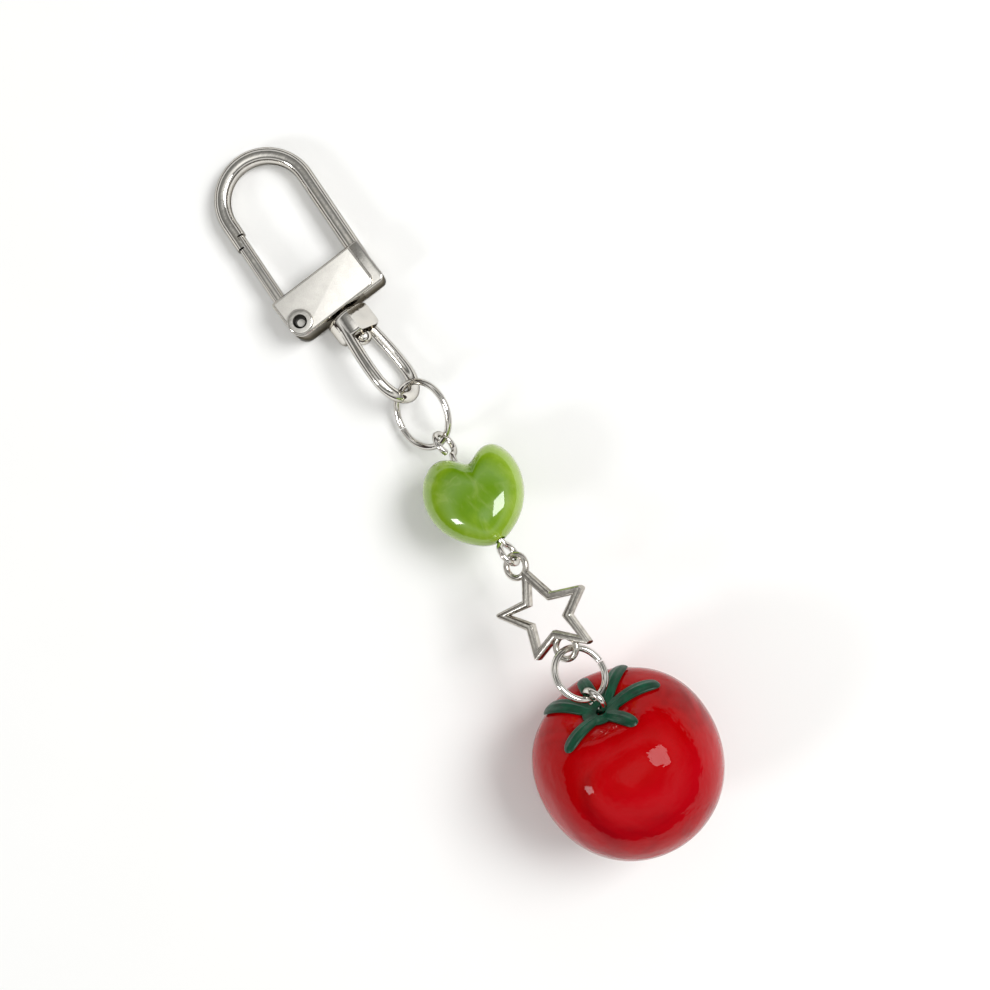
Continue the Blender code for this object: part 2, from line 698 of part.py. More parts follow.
def star_corners():
    """The ten corners of the bars' middle line; the star is a little longer in one direction."""
    lean = radians(STAR_TURN)
    points = []
    for k in range(10):
        a = pi - k * pi / 5 + radians(STAR_SPIN) - lean
        share = STAR_NOTCH if k % 2 else 1.0
        x, y = STAR_LONG_RADIUS * share * cos(a), STAR_SHORT_RADIUS * share * sin(a)
        points.append(Vector((STAR_CENTRE + x * cos(lean) - y * sin(lean), x * sin(lean) + y * cos(lean), 0)))
    return points


def star_link(joint, place, finish):
    """An open five-point star with a cast loop on one point and another in the opposite notch."""
    section = bevelled_section(STAR_BAR_WIDTH, STAR_BAR_DEPTH, 0.25 * STAR_BAR_WIDTH)
    piece = solid("star_link", sweep(star_corners(), section, True), joint, finish, place)
    radius = (STAR_LOOP - STAR_LOOP_WIRE) / 2
    wire = round_section(STAR_LOOP_WIRE, STAR_LOOP_WIRE)
    inside = radius - STAR_LOOP_WIRE / 2
    eyelet = turned([(-STAR_BAR_DEPTH, 0), (-STAR_BAR_DEPTH, inside), (STAR_BAR_DEPTH, inside),
                     (STAR_BAR_DEPTH, 0)], 20)
    middles = (("near", radius), ("far", STAR_LENGTH - radius))
    holes = [
        helper(f"star_loop_cut_{name}", eyelet, joint, place @ across_at(middle, 0))
        for name, middle in middles
    ]
    loops = [
        helper(f"star_loop_shape_{name}", sweep(arc(middle, radius, 0, 2 * pi, 24)[:-1], wire, True),
               joint, place)
        for name, middle in middles
    ]
    combine(piece, "DIFFERENCE", *holes)
    combine(piece, "UNION", *loops)


# Tomato


def tomato_radius(fall):
    """The tomato's radius at an angle from the stem: a dimple at the stem, a slight one below."""
    stem = (TOMATO_RADIUS - TOMATO_POLE) * np.exp(-((fall / DIMPLE_SPREAD) ** 2))
    foot = 0.06 * TOMATO_RADIUS * np.exp(-(((pi - fall) / 0.4) ** 2))
    return TOMATO_RADIUS - stem - foot


def on_tomato(angle, fall, lift=0.0):
    """A point over the tomato's skin, in the drop's axes: x runs from the stem into the tomato."""
    radius = tomato_radius(fall) + lift
    return (tomato_centre() - radius * cos(fall), radius * sin(fall) * cos(angle),
            radius * sin(fall) * sin(angle))


def tomato_body(joint, place, finish):
    piece = solid("tomato_body", globe(lambda a, f: on_tomato(-a, f), 32, 22), joint, finish, place, 60)
    bore = SCREW_EYE_WIRE / 2 + THREAD_HEIGHT + FIT
    start = tomato_centre() - TOMATO_RADIUS
    end = tomato_centre() - TOMATO_POLE + SCREW_DEPTH + FIT
    hole = helper("screw_bore_cut", turned([(start, 0), (start, bore), (end, bore), (end, 0)], 16),
                  joint, place)
    combine(piece, "DIFFERENCE", hole)


def sepal_reach(angle):
    """How far the calyx reaches over the skin at an angle round the stem: the hub, or a sepal that
    narrows to its point."""
    reach = CALYX_HUB
    for degrees_round, length in SEPALS:
        away = abs(atan2(sin(angle - radians(degrees_round)), cos(angle - radians(degrees_round))))
        if away < SEPAL_HALF_ANGLE:
            reach = max(reach, CALYX_HUB + (length * MM - CALYX_HUB) * (1 - away / SEPAL_HALF_ANGLE) ** 0.9)
    return reach


def calyx(joint, place, finish):
    """A thin star of sepals that follows the skin from a hole round the screw eye outwards."""
    hole = SCREW_EYE_WIRE / 2 + FIT
    columns, rows = 90, 6
    skins = []
    for lift in (CALYX_GAP, CALYX_GAP + CALYX_THICKNESS):
        skin = []
        for i in range(rows + 1):
            for j in range(columns):
                angle = 2 * pi * j / columns
                along = hole + (sepal_reach(angle) - hole) * i / rows
                skin.append(Vector(on_tomato(angle, along / TOMATO_POLE, lift)))
        skins.append(skin)
    faces = []
    count = (rows + 1) * columns
    for j in range(columns):
        after = (j + 1) % columns
        for i in range(rows):
            a, b = i * columns + j, i * columns + after
            c, d = (i + 1) * columns + after, (i + 1) * columns + j
            faces.append((d, c, b, a))
            faces.append((count + a, count + b, count + c, count + d))
        faces.append((after, count + after, count + j, j))
        rim = rows * columns
        faces.append((rim + j, count + rim + j, count + rim + after, rim + after))
    solid("calyx", (skins[0] + skins[1], faces), joint, finish, place, 50)


def screw_eye(joint, place, finish):
    """An eye of wire on a threaded shank that screws into the tomato."""
    radius = (SCREW_EYE_LOOP - SCREW_EYE_WIRE) / 2
    spare = (SCREW_EYE_WIRE + CUT_WIDTH) / radius
    path = arc(radius, radius, -spare * 1.1, -2 * pi + spare * 0.25, 26)
    skin = tomato_centre() - TOMATO_POLE
    path += [Vector((skin - CALYX_THICKNESS, 0, 0)), Vector((skin + SCREW_PITCH * 1.5, 0, 0))]
    piece = solid("screw_eye", sweep(path, round_section(SCREW_EYE_WIRE, SCREW_EYE_WIRE), False),
                  joint, finish, place)
    wire = SCREW_EYE_WIRE / 2
    profile = [(skin + SCREW_PITCH, 0), (skin + SCREW_PITCH, wire * 0.8)]
    threads = ceil((SCREW_DEPTH - 3 * SCREW_PITCH) / SCREW_PITCH)
    for k in range(threads):
        x = skin + SCREW_PITCH * (1.2 + k)
        profile += [(x, wire * 0.9), (x + SCREW_PITCH / 2, wire + THREAD_HEIGHT)]
    profile += [(skin + SCREW_PITCH * (1.2 + threads), wire * 0.9), (skin + SCREW_DEPTH, 0)]
    shank = helper("threaded_shank_shape", turned(profile, 12), joint, place)
    combine(piece, "UNION", shank)


def floor_and_middle(root):
    """Moves the whole charm so that the origin is the middle of its box's underside."""
    bpy.context.view_layer.update()
    graph = bpy.context.evaluated_depsgraph_get()
    corners = []
    for obj in bpy.data.objects:
        if obj.type == "MESH" and not obj.hide_render:
            shown = obj.evaluated_get(graph)
            points = np.empty(len(shown.data.vertices) * 3)
            shown.data.vertices.foreach_get("co", points)
            place = np.array(shown.matrix_world)
            points = points.reshape(-1, 3) @ place[:3, :3].T + place[:3, 3]
            corners += [points.min(axis=0), points.max(axis=0)]
    low, high = np.min(corners, axis=0), np.max(corners, axis=0)
    root.location = (-(low[0] + high[0]) / 2, -(low[1] + high[1]) / 2, -low[2])


def main():
    clear_scene()
    plated = material("plated_metal", (0.78, 0.76, 0.71), 1.0, 0.18)
    star_plate = material("cast_star_metal", (0.62, 0.59, 0.54), 1.0, 0.28)
    steel = material("spring_steel", (0.55, 0.54, 0.52), 1.0, 0.3)
    glaze = material("green_pearl_glaze", (0.30, 0.52, 0.06), 0.0, 0.08)
    red = material("tomato_red", (0.62, 0.0, 0.01), 0.0, 0.12)
    green = material("calyx_green", (0.0, 0.12, 0.05), 0.0, 0.4)

    hook, swivel_place, links = laid_out()
    root = empty("charm_root", None, Matrix())
    frame = empty("hook_frame", root, hook)
    hook_body(frame, plated)
    gate_rivet(frame, plated)
    gate_spring(frame, steel)
    hinge = empty("gate_hinge", frame, Matrix.Translation((RIVET_X, rivet_side(), 0)))
    gate(hinge, plated)

    along_x = Matrix.Rotation(pi / 2, 4, "Y")
    spin = empty("swivel_spin", frame, hook.inverted() @ swivel_place @ along_x)
    swivel = empty("swivel_frame", spin, along_x.inverted())
    swivel_post(swivel, plated)
    swivel_eye(swivel, plated)

    before, before_place = spin, swivel_place @ along_x
    joints, places = {}, {}
    for name, (point, direction, place) in links.items():
        axes = joint_axes(point, direction)
        joints[name] = empty(f"{name}_swing", before, before_place.inverted() @ axes)
        places[name] = axes.inverted() @ place
        before, before_place = joints[name], axes

    jump_ring("upper_jump_ring", joints["upper_ring"], places["upper_ring"], UPPER_RING_WIDTH, -100, plated)
    eye_pin(joints["eye_pin"], places["eye_pin"], plated)
    star_link(joints["star"], places["star"], star_plate)
    jump_ring("lower_jump_ring", joints["lower_ring"], places["lower_ring"], LOWER_RING_WIDTH, 100, plated)
    screw_eye(joints["drop"], places["drop"], plated)
    tomato_body(joints["drop"], places["drop"], red)
    calyx(joints["drop"], places["drop"], green)

    bead_place = places["eye_pin"] @ Matrix.Translation((BEAD_PLACE, 0, 0))
    bead_spin = empty("bead_spin", joints["eye_pin"], bead_place @ along_x)
    heart_bead(bead_spin, along_x.inverted() @ Matrix.Rotation(-radians(PIN_ROLL), 4, "X"), glaze)
    floor_and_middle(root)


main()
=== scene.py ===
"""A tomato bag charm laid out on a pale table: a plated swivel hook, two jump rings, a glazed heart
bead on an eye pin, an open star link and a glossy tomato with its calyx on a screw eye.

Every shape is worked out in its own link's axes (x along the chain, y across the link's plane, z the
plane's normal) and then placed on the packed part's bodies and joints. Lengths are in metres."""

import json
from math import pi, radians

import bmesh
import bpy
import numpy as np
from bpy.props import FloatProperty, FloatVectorProperty, PointerProperty
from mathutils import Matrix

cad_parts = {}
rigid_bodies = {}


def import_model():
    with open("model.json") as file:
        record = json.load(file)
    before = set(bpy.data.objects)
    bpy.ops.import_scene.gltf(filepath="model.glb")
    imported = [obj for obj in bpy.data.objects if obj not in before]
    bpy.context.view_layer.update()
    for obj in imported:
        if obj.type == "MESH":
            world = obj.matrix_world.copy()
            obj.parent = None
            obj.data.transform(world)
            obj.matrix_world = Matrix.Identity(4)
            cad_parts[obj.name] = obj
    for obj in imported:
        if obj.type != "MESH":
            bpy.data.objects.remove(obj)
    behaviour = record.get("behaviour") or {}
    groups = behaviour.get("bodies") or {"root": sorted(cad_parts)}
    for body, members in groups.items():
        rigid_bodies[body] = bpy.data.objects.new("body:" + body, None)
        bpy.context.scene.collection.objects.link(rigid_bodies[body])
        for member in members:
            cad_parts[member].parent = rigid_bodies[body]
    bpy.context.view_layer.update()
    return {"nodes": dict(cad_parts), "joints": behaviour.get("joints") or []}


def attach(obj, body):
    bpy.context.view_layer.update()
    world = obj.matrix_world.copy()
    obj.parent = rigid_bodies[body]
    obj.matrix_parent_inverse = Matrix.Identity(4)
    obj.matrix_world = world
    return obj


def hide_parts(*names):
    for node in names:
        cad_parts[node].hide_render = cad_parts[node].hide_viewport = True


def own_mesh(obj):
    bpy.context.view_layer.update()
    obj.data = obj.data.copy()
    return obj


bl_info = {
    "name": "Tomato bag charm",
    "version": (1, 0, 0),
    "blender": (4, 5, 0),
    "location": "3D Viewport > Sidebar > Bag Charm",
    "description": "Builds a tomato bag charm, link by link, on its packed frame",
    "category": "Object",
}

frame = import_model()
MM = 0.001


# Sizes and colours that a user would change


def length(name, description, value):
    """A length in metres, given in millimetres."""
    return FloatProperty(name=name, description=description, default=value * MM, unit="LENGTH",
                         precision=5)


def colour(name, description, value):
    return FloatVectorProperty(name=name, description=description, default=value, subtype="COLOR",
                               size=3, min=0.0, max=1.0)


class CharmSizes(bpy.types.PropertyGroup):
    box_length: length("Housing length", "Housing along the chain", 6.8)
    box_width: length("Housing width", "Housing across the chain", 15.7)
    box_thickness: length("Housing thickness", "Housing from face to face", 5.8)
    bow_straight: length("Bow's straight", "From the housing to the bow's round end", 13.4)
    bar_width: length("Bow bar width", "Width of the bow's bar", 2.35)
    bar_depth: length("Bow bar depth", "Depth of the bow's bar", 3.0)
    gate_width: length("Gate width", "Width of the gate's bar", 1.85)
    eye_wire: length("Swivel eye wire", "Thickness of the swivel eye", 1.8)
    eye_width: length("Swivel eye width", "Outside width of the swivel eye", 9.4)
    upper_ring: length("Upper ring", "Outside diameter of the upper jump ring", 10.9)
    lower_ring: length("Lower ring", "Outside diameter of the lower jump ring", 8.6)
    ring_wire: length("Ring wire", "Wire of both jump rings and of the screw eye", 0.95)
    pin_wire: length("Pin wire", "Wire of the eye pin", 0.9)
    pin_length: length("Pin length", "Between the wires of the eye pin's two ends", 22.8)
    bead_thickness: length("Bead half thickness", "From the bead's middle to its face", 4.25)
    star_bar: length("Star bar", "Width of the star's bars", 1.15)
    star_depth: length("Star depth", "Depth of the star's bars", 1.5)
    star_length: length("Star length", "Between the wires of the star's two loops", 17.0)
    tomato_radius: length("Tomato radius", "Radius at the tomato's shoulders", 13.4)
    tomato_pole: length("Tomato pole", "From the middle to the bottom of the stem dimple", 10.0)
    calyx_thickness: length("Calyx thickness", "Thickness of the sepals at the hub", 0.5)


class CharmFinishes(bpy.types.PropertyGroup):
    plate: colour("Plating", "Bright nickel plating", (0.80, 0.775, 0.73))
    cast: colour("Cast metal", "Plating of the cast star", (0.60, 0.57, 0.52))
    steel: colour("Spring steel", "Wire of the gate's spring", (0.45, 0.44, 0.42))
    glaze_deep: colour("Glaze, deep", "Green where the glaze lies thick", (0.13, 0.27, 0.002))
    glaze_pale: colour("Glaze, pale", "Green at the bead's edges", (0.37, 0.50, 0.12))
    red: colour("Tomato red", "The tomato's skin", (0.40, 0.0003, 0.0012))
    red_deep: colour("Tomato deep red", "Darker patches of the skin", (0.23, 0.0, 0.0008))
    leaf: colour("Calyx green", "The calyx", (0.001, 0.062, 0.028))
    table: colour("Table", "The pale table", (0.93, 0.93, 0.92))


def sizes():
    return bpy.context.scene.charm_sizes


def finishes():
    return bpy.context.scene.charm_finishes


# Places taken from the packed part


def unit(vectors):
    return vectors / np.linalg.norm(vectors, axis=-1, keepdims=True)


def joint(name):
    """A joint's point and its axis."""
    found = next(j for j in frame["joints"] if j["name"] == name)
    return np.array(found["pos_m"], float), unit(np.array(found["axis"], float))


def node_points(name):
    mesh = frame["nodes"][name].data
    points = np.empty(len(mesh.vertices) * 3)
    mesh.vertices.foreach_get("co", points)
    return points.reshape(-1, 3)


class Axes:
    """A link's axes: an origin and three unit directions. z = x cross y, and y is squared up to x."""

    def __init__(self, origin, x, y):
        x = unit(np.asarray(x, float))
        y = np.asarray(y, float)
        y = unit(y - x * (x @ y))
        self.origin, self.turn = np.asarray(origin, float), np.stack([x, y, np.cross(x, y)])

    def place(self, points):
        """Points in these axes, in the part's frame: origin + x X + y Y + z Z."""
        return self.origin + points @ self.turn

    def shifted(self, x=0.0, y=0.0, z=0.0):
        return Axes(self.place(np.array([x, y, z])), self.turn[0], self.turn[1])

    def spun(self, angle):
        """Turned by an angle about z."""
        x, y, _ = self.turn
        return Axes(self.origin, x * np.cos(angle) + y * np.sin(angle), y * np.cos(angle) - x * np.sin(angle))


def hook_axes():
    """x = 0 is the housing's top and the swivel leaves it at x = the housing's length."""
    foot, x = joint("swivel_spin")
    z = -joint("gate_hinge")[1]
    return Axes(foot - x * sizes().box_length, x, np.cross(z, x))


def bow_axes():
    """The bow and the gate lean 3.5 degrees against the housing, about the housing's middle."""
    half = sizes().box_length / 2
    return hook_axes().shifted(half).spun(radians(-3.5)).shifted(-half)


def swivel_axes():
    foot, x = joint("swivel_spin")
    return Axes(foot, x, joint("upper_ring_swing")[1])


def pin_axes():
    x = joint("bead_spin")[1]
    end, y = joint("star_swing")
    return Axes(end - x * sizes().pin_length, x, y)


def bead_axes():
    """The heart lies flat: y is level, and it leans 12 degrees and sits a little aside of its bore."""
    middle, x = joint("bead_spin")
    level = Axes(middle, x, np.cross((0.0, 0.0, 1.0), x))
    return level, level.shifted(0, 0.35 * MM).spun(radians(-12))


def star_axes():
    near, far = joint("star_swing")[0], joint("lower_ring_swing")
    x = unit(far[0] - near)
    return Axes(far[0] - x * sizes().star_length, x, far[1])


def ring_axes(node, next_joint, far_angle):
    """A ring's centre and plane from its solid: the middle, and the direction that it is thinnest in.
    x points to the place where the next link hangs, turned back by that place's angle."""
    points = node_points(node)
    centre = (points.min(axis=0) + points.max(axis=0)) / 2
    normal = np.linalg.svd(points - points.mean(axis=0), full_matrices=False)[2][2]
    point, along = joint(next_joint)
    x = point - centre
    x = unit(x - normal * (x @ normal))
    if along @ np.cross(normal, x) < 0:
        normal = -normal
    return Axes(centre, x, np.cross(normal, x)).spun(-radians(far_angle))


def tomato_axes():
    """x runs from the screw eye down into the tomato: 5 degrees aside, 31 degrees down, and rolled
    62 degrees about itself. Its start is where the screw eye's wire begins."""
    yaw, droop, roll = radians(-5.0), radians(31.0), radians(62.0)
    x = np.array([np.cos(yaw) * np.cos(droop), np.sin(yaw) * np.cos(droop), -np.sin(droop)])
    level = np.array([-np.sin(yaw), np.cos(yaw), 0.0])
    y = level * np.cos(roll) + np.cross(x, level) * np.sin(roll)
    point = joint("drop_swing")[0]
    start = (node_points("screw_eye") @ x).min() + sizes().ring_wire / 2
    return Axes(point + x * (start - point @ x), x, y)


# Surfaces


def skin_faces(rows, columns, round_rows, round_columns):
    """Quads between the points of a grid. A round grid joins its last row or column to its first."""
    i, j = np.meshgrid(np.arange(rows if round_rows else rows - 1),
                       np.arange(columns if round_columns else columns - 1), indexing="ij")
    k, m = (i + 1) % rows, (j + 1) % columns
    corners = (k * columns + j, k * columns + m, i * columns + m, i * columns + j)
    return np.stack(corners, axis=-1).reshape(-1, 4)


def new_piece(name, points, faces, material, crease=30.0, shade=None):
    """A mesh from points and faces. Points that fall together, as at a pole, are merged, faces are
    turned outwards, and edges sharper than the crease stay sharp. shade is one number per point."""
    mesh = bpy.data.meshes.new(name)
    mesh.from_pydata(points.tolist(), [], [tuple(f) for f in faces])
    if shade is not None:
        mesh.attributes.new("shade", "FLOAT", "POINT").data.foreach_set("value", shade.ravel().astype(np.float32))
    tidy(mesh, crease)
    mesh.materials.append(material)
    piece = bpy.data.objects.new(name, mesh)
    bpy.context.scene.collection.objects.link(piece)
    return piece


def tidy(mesh, crease):
    made = bmesh.new()
    made.from_mesh(mesh)
    bmesh.ops.remove_doubles(made, verts=made.verts, dist=2e-7)
    bmesh.ops.dissolve_degenerate(made, edges=made.edges, dist=1e-7)
    bmesh.ops.recalc_face_normals(made, faces=made.faces)
    made.to_mesh(mesh)
    made.free()
    mesh.shade_smooth()
    mesh.set_sharp_from_angle(angle=radians(crease))


def skin(name, grid, axes, material, round_rows=False, round_columns=True, crease=30.0, shade=None):
    rows, columns = grid.shape[:2]
    faces = skin_faces(rows, columns, round_rows, round_columns)
    return new_piece(name, axes.place(grid.reshape(-1, 3)), faces, material, crease, shade)


def arc(centre, radius, start, end, steps):
    """Points on an arc about (centre, 0) in the x-y plane, angles in radians."""
    a = np.linspace(start, end, steps + 1)
    return np.stack([centre + radius * np.cos(a), radius * np.sin(a), 0 * a], axis=1)


def oval(width, depth, sides=24, fullness=2.0):
    """A section: x = w cos^(2/n), y = d sin^(2/n), an ellipse at n = 2 and squarer above."""
    a = 2 * pi * (np.arange(sides) + 0.5) / sides
    c, s = np.cos(a), np.sin(a)
    power = 2.0 / fullness
    return np.stack([width / 2 * np.sign(c) * np.abs(c) ** power, depth / 2 * np.sign(s) * np.abs(s) ** power],
                    axis=1)


def chamfered(width, depth, cut):
    """A rectangle with its four corners cut off."""
    w, d = width / 2, depth / 2
    quarter = np.array([(w, d - cut), (w - cut, d)])
    half = np.concatenate([quarter, quarter[::-1] * (-1, 1)])
    return np.concatenate([half, -half])


def resampled(path, spacing, blur):
    """A path redrawn at an even spacing, each point the mean of its neighbours within the blur, so
    that corners turn into bends. Its two ends stay where they are."""
    steps = np.linalg.norm(np.diff(path, axis=0), axis=1)
    along = np.concatenate([[0], np.cumsum(steps)])
    count = int(along[-1] / spacing) + 1
    even = np.stack([np.interp(np.linspace(0, along[-1], count), along, path[:, k]) for k in range(3)], axis=1)
    reach = max(1, int(blur / spacing))
    padded = np.concatenate([2 * even[0] - even[reach:0:-1], even, 2 * even[-1] - even[-2:-reach - 2:-1]])
    weights = np.hanning(2 * reach + 3)[1:-1]
    weights /= weights.sum()
    return np.stack([np.convolve(padded[:, k], weights, mode="valid") for k in range(3)], axis=1)


def carried(path, section, closed=False, dome=0.0, normal=(0.0, 0.0, 1.0), sharpest=0.45):
    """A section carried along a path: point + u side + v up, where side = tangent x normal and
    up = side x tangent. At a corner u is stretched by 1 / cos(half the turn). An open path ends in
    low domes: the section shrinks by cos t while it moves out by dome sin t."""
    before = np.roll(path, 1, axis=0) if closed else np.concatenate([[2 * path[0] - path[1]], path[:-1]])
    after = np.roll(path, -1, axis=0) if closed else np.concatenate([path[1:], [2 * path[-1] - path[-2]]])
    step_in, step_out = unit(path - before), unit(after - path)
    tangent = unit(step_in + step_out)
    side = unit(np.cross(tangent, normal))
    up = np.cross(side, tangent)
    mitre = 1 / np.maximum((tangent * step_in).sum(axis=1), sharpest)
    scale = np.ones(len(path))
    if not closed:
        t = np.linspace(pi / 2, 0, 6)[:-1]
        ends = []
        for end, way in ((0, -1), (-1, 1)):
            ends.append(path[end] + way * dome * np.sin(t)[:, None] * tangent[end])
        path = np.concatenate([ends[0], path, ends[1][::-1]])
        scale = np.concatenate([np.cos(t), scale, np.cos(t)[::-1]])
        pad = ((len(t), len(t)), (0, 0))
        side, up = np.pad(side, pad, mode="edge"), np.pad(up, pad, mode="edge")
        mitre = np.pad(mitre, (len(t), len(t)), mode="edge")
    u = section[None, :, 0] * (mitre * scale)[:, None]
    v = section[None, :, 1] * scale[:, None]
    return path[:, None] + side[:, None] * u[..., None] + up[:, None] * v[..., None]


def wire(name, path, section, axes, material, closed=False, dome=0.08 * MM, normal=(0.0, 0.0, 1.0)):
    return skin(name, carried(path, section, closed, dome, normal), axes, material, round_rows=closed)


def turned(profile, steps=64):
    """A profile of (x, radius) points turned about the x axis: (x, r cos a, r sin a)."""
    x, r = np.array(profile, float).T
    a = 2 * pi * np.arange(steps) / steps
    return np.stack([np.repeat(x[:, None], steps, 1), r[:, None] * np.cos(a), r[:, None] * np.sin(a)], axis=2)


def rod(name, start, end, radius, axes, material, steps=64, stand=None):
    """A plain round bar along x from start to end, or upright at a point to stand on."""
    grid = turned([(start, 0), (start, radius), (end, radius), (end, 0)], steps)
    return skin(name, upright(grid, *stand) if stand else grid, axes, material)


def upright(grid, x, y):
    """Stands a shape turned about x upright at (x, y): its x axis becomes z."""
    return np.stack([x - grid[..., 2], y + grid[..., 1], grid[..., 0]], axis=-1)


def fillet(corners, steps=6):
    """An outline through (x, y, radius) corners, each replaced by an arc that touches both sides."""
    corners = np.array(corners, float)
    here, radius = corners[:, :2], corners[:, 2:]
    back, on = unit(np.roll(here, 1, axis=0) - here), unit(np.roll(here, -1, axis=0) - here)
    half = np.arccos(np.clip((back * on).sum(axis=1, keepdims=True), -1, 1)) / 2
    centre = here + unit(back + on) * radius / np.sin(half)
    first, last = here + back * radius / np.tan(half), here + on * radius / np.tan(half)
    t = np.linspace(0, 1, steps + 1)[None, :, None]
    way = unit((first - centre)[:, None] * (1 - t) + (last - centre)[:, None] * t)
    return (centre[:, None] + way * radius[:, None]).reshape(-1, 2)


def slab(outline, low, high):
    """An outline carried straight up from low to high, with flat ends."""
    count = len(outline)
    points = np.concatenate([np.c_[outline, np.full(count, low)], np.c_[outline, np.full(count, high)]])
    faces = [tuple(f) for f in skin_faces(2, count, False, True)]
    return points, faces + [tuple(range(count)), tuple(range(count, 2 * count))]


def pillow(corners, low, high, edge, steps=5):
    """A rectangle's outline carried from low to high with rounded edges: near each end the corners
    move inwards by edge (1 - sin t), their radii shrink by as much, and the height by edge (1 - cos t)."""
    corners = np.array(corners, float)
    middle = corners[:, :2].mean(axis=0)
    t = np.linspace(0, pi / 2, steps)
    insets, heights = edge * (1 - np.sin(t)), low + edge * (1 - np.cos(t))
    insets, heights = np.r_[insets, insets[::-1]], np.r_[heights, (low + high - heights)[::-1]]
    rows = []
    for inset, height in zip(insets, heights):
        moved = corners[:, :2] + np.sign(middle - corners[:, :2]) * inset
        outline = fillet(np.c_[moved, np.maximum(corners[:, 2] - inset, 0.03 * MM)])
        rows.append(np.c_[outline, np.full(len(outline), height)])
    count = len(rows[0])
    faces = [tuple(f) for f in skin_faces(len(rows), count, False, True)]
    end = (len(rows) - 1) * count
    return np.concatenate(rows), faces + [tuple(range(count)), tuple(range(end, end + count))]


def block(low, high):
    """A box between two corners."""
    (a, b, c), (d, e, f) = low, high
    return slab(np.array([(a, b), (d, b), (d, e), (a, e)]), c, f)


def rounded_edges(piece, width, segments=4, angle=40.0):
    modifier = piece.modifiers.new("edges", "BEVEL")
    modifier.width, modifier.segments = width, segments
    modifier.limit_method, modifier.angle_limit = "ANGLE", radians(angle)


def carve(piece, cutters, operation="DIFFERENCE", crease=30.0):
    """Cuts or joins shapes and keeps the result as the piece's own mesh."""
    for cutter in cutters:
        modifier = piece.modifiers.new(cutter.name, "BOOLEAN")
        modifier.operation, modifier.object = operation, cutter
    graph = bpy.context.evaluated_depsgraph_get()
    made = bpy.data.meshes.new_from_object(piece.evaluated_get(graph), depsgraph=graph)
    piece.modifiers.clear()
    old, piece.data = piece.data, made
    made.name = piece.name
    bpy.data.meshes.remove(old)
    for cutter in cutters:
        bpy.data.objects.remove(cutter)
    made.shade_smooth()
    made.set_sharp_from_angle(angle=radians(crease))
    return piece


def fitted(piece, body, slot, *nodes):
    """Puts a finished piece on its body, with its finish's slot and the solids that it stands for."""
    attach(piece, body)
    if nodes:
        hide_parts(*nodes)
    return piece


# Finishes


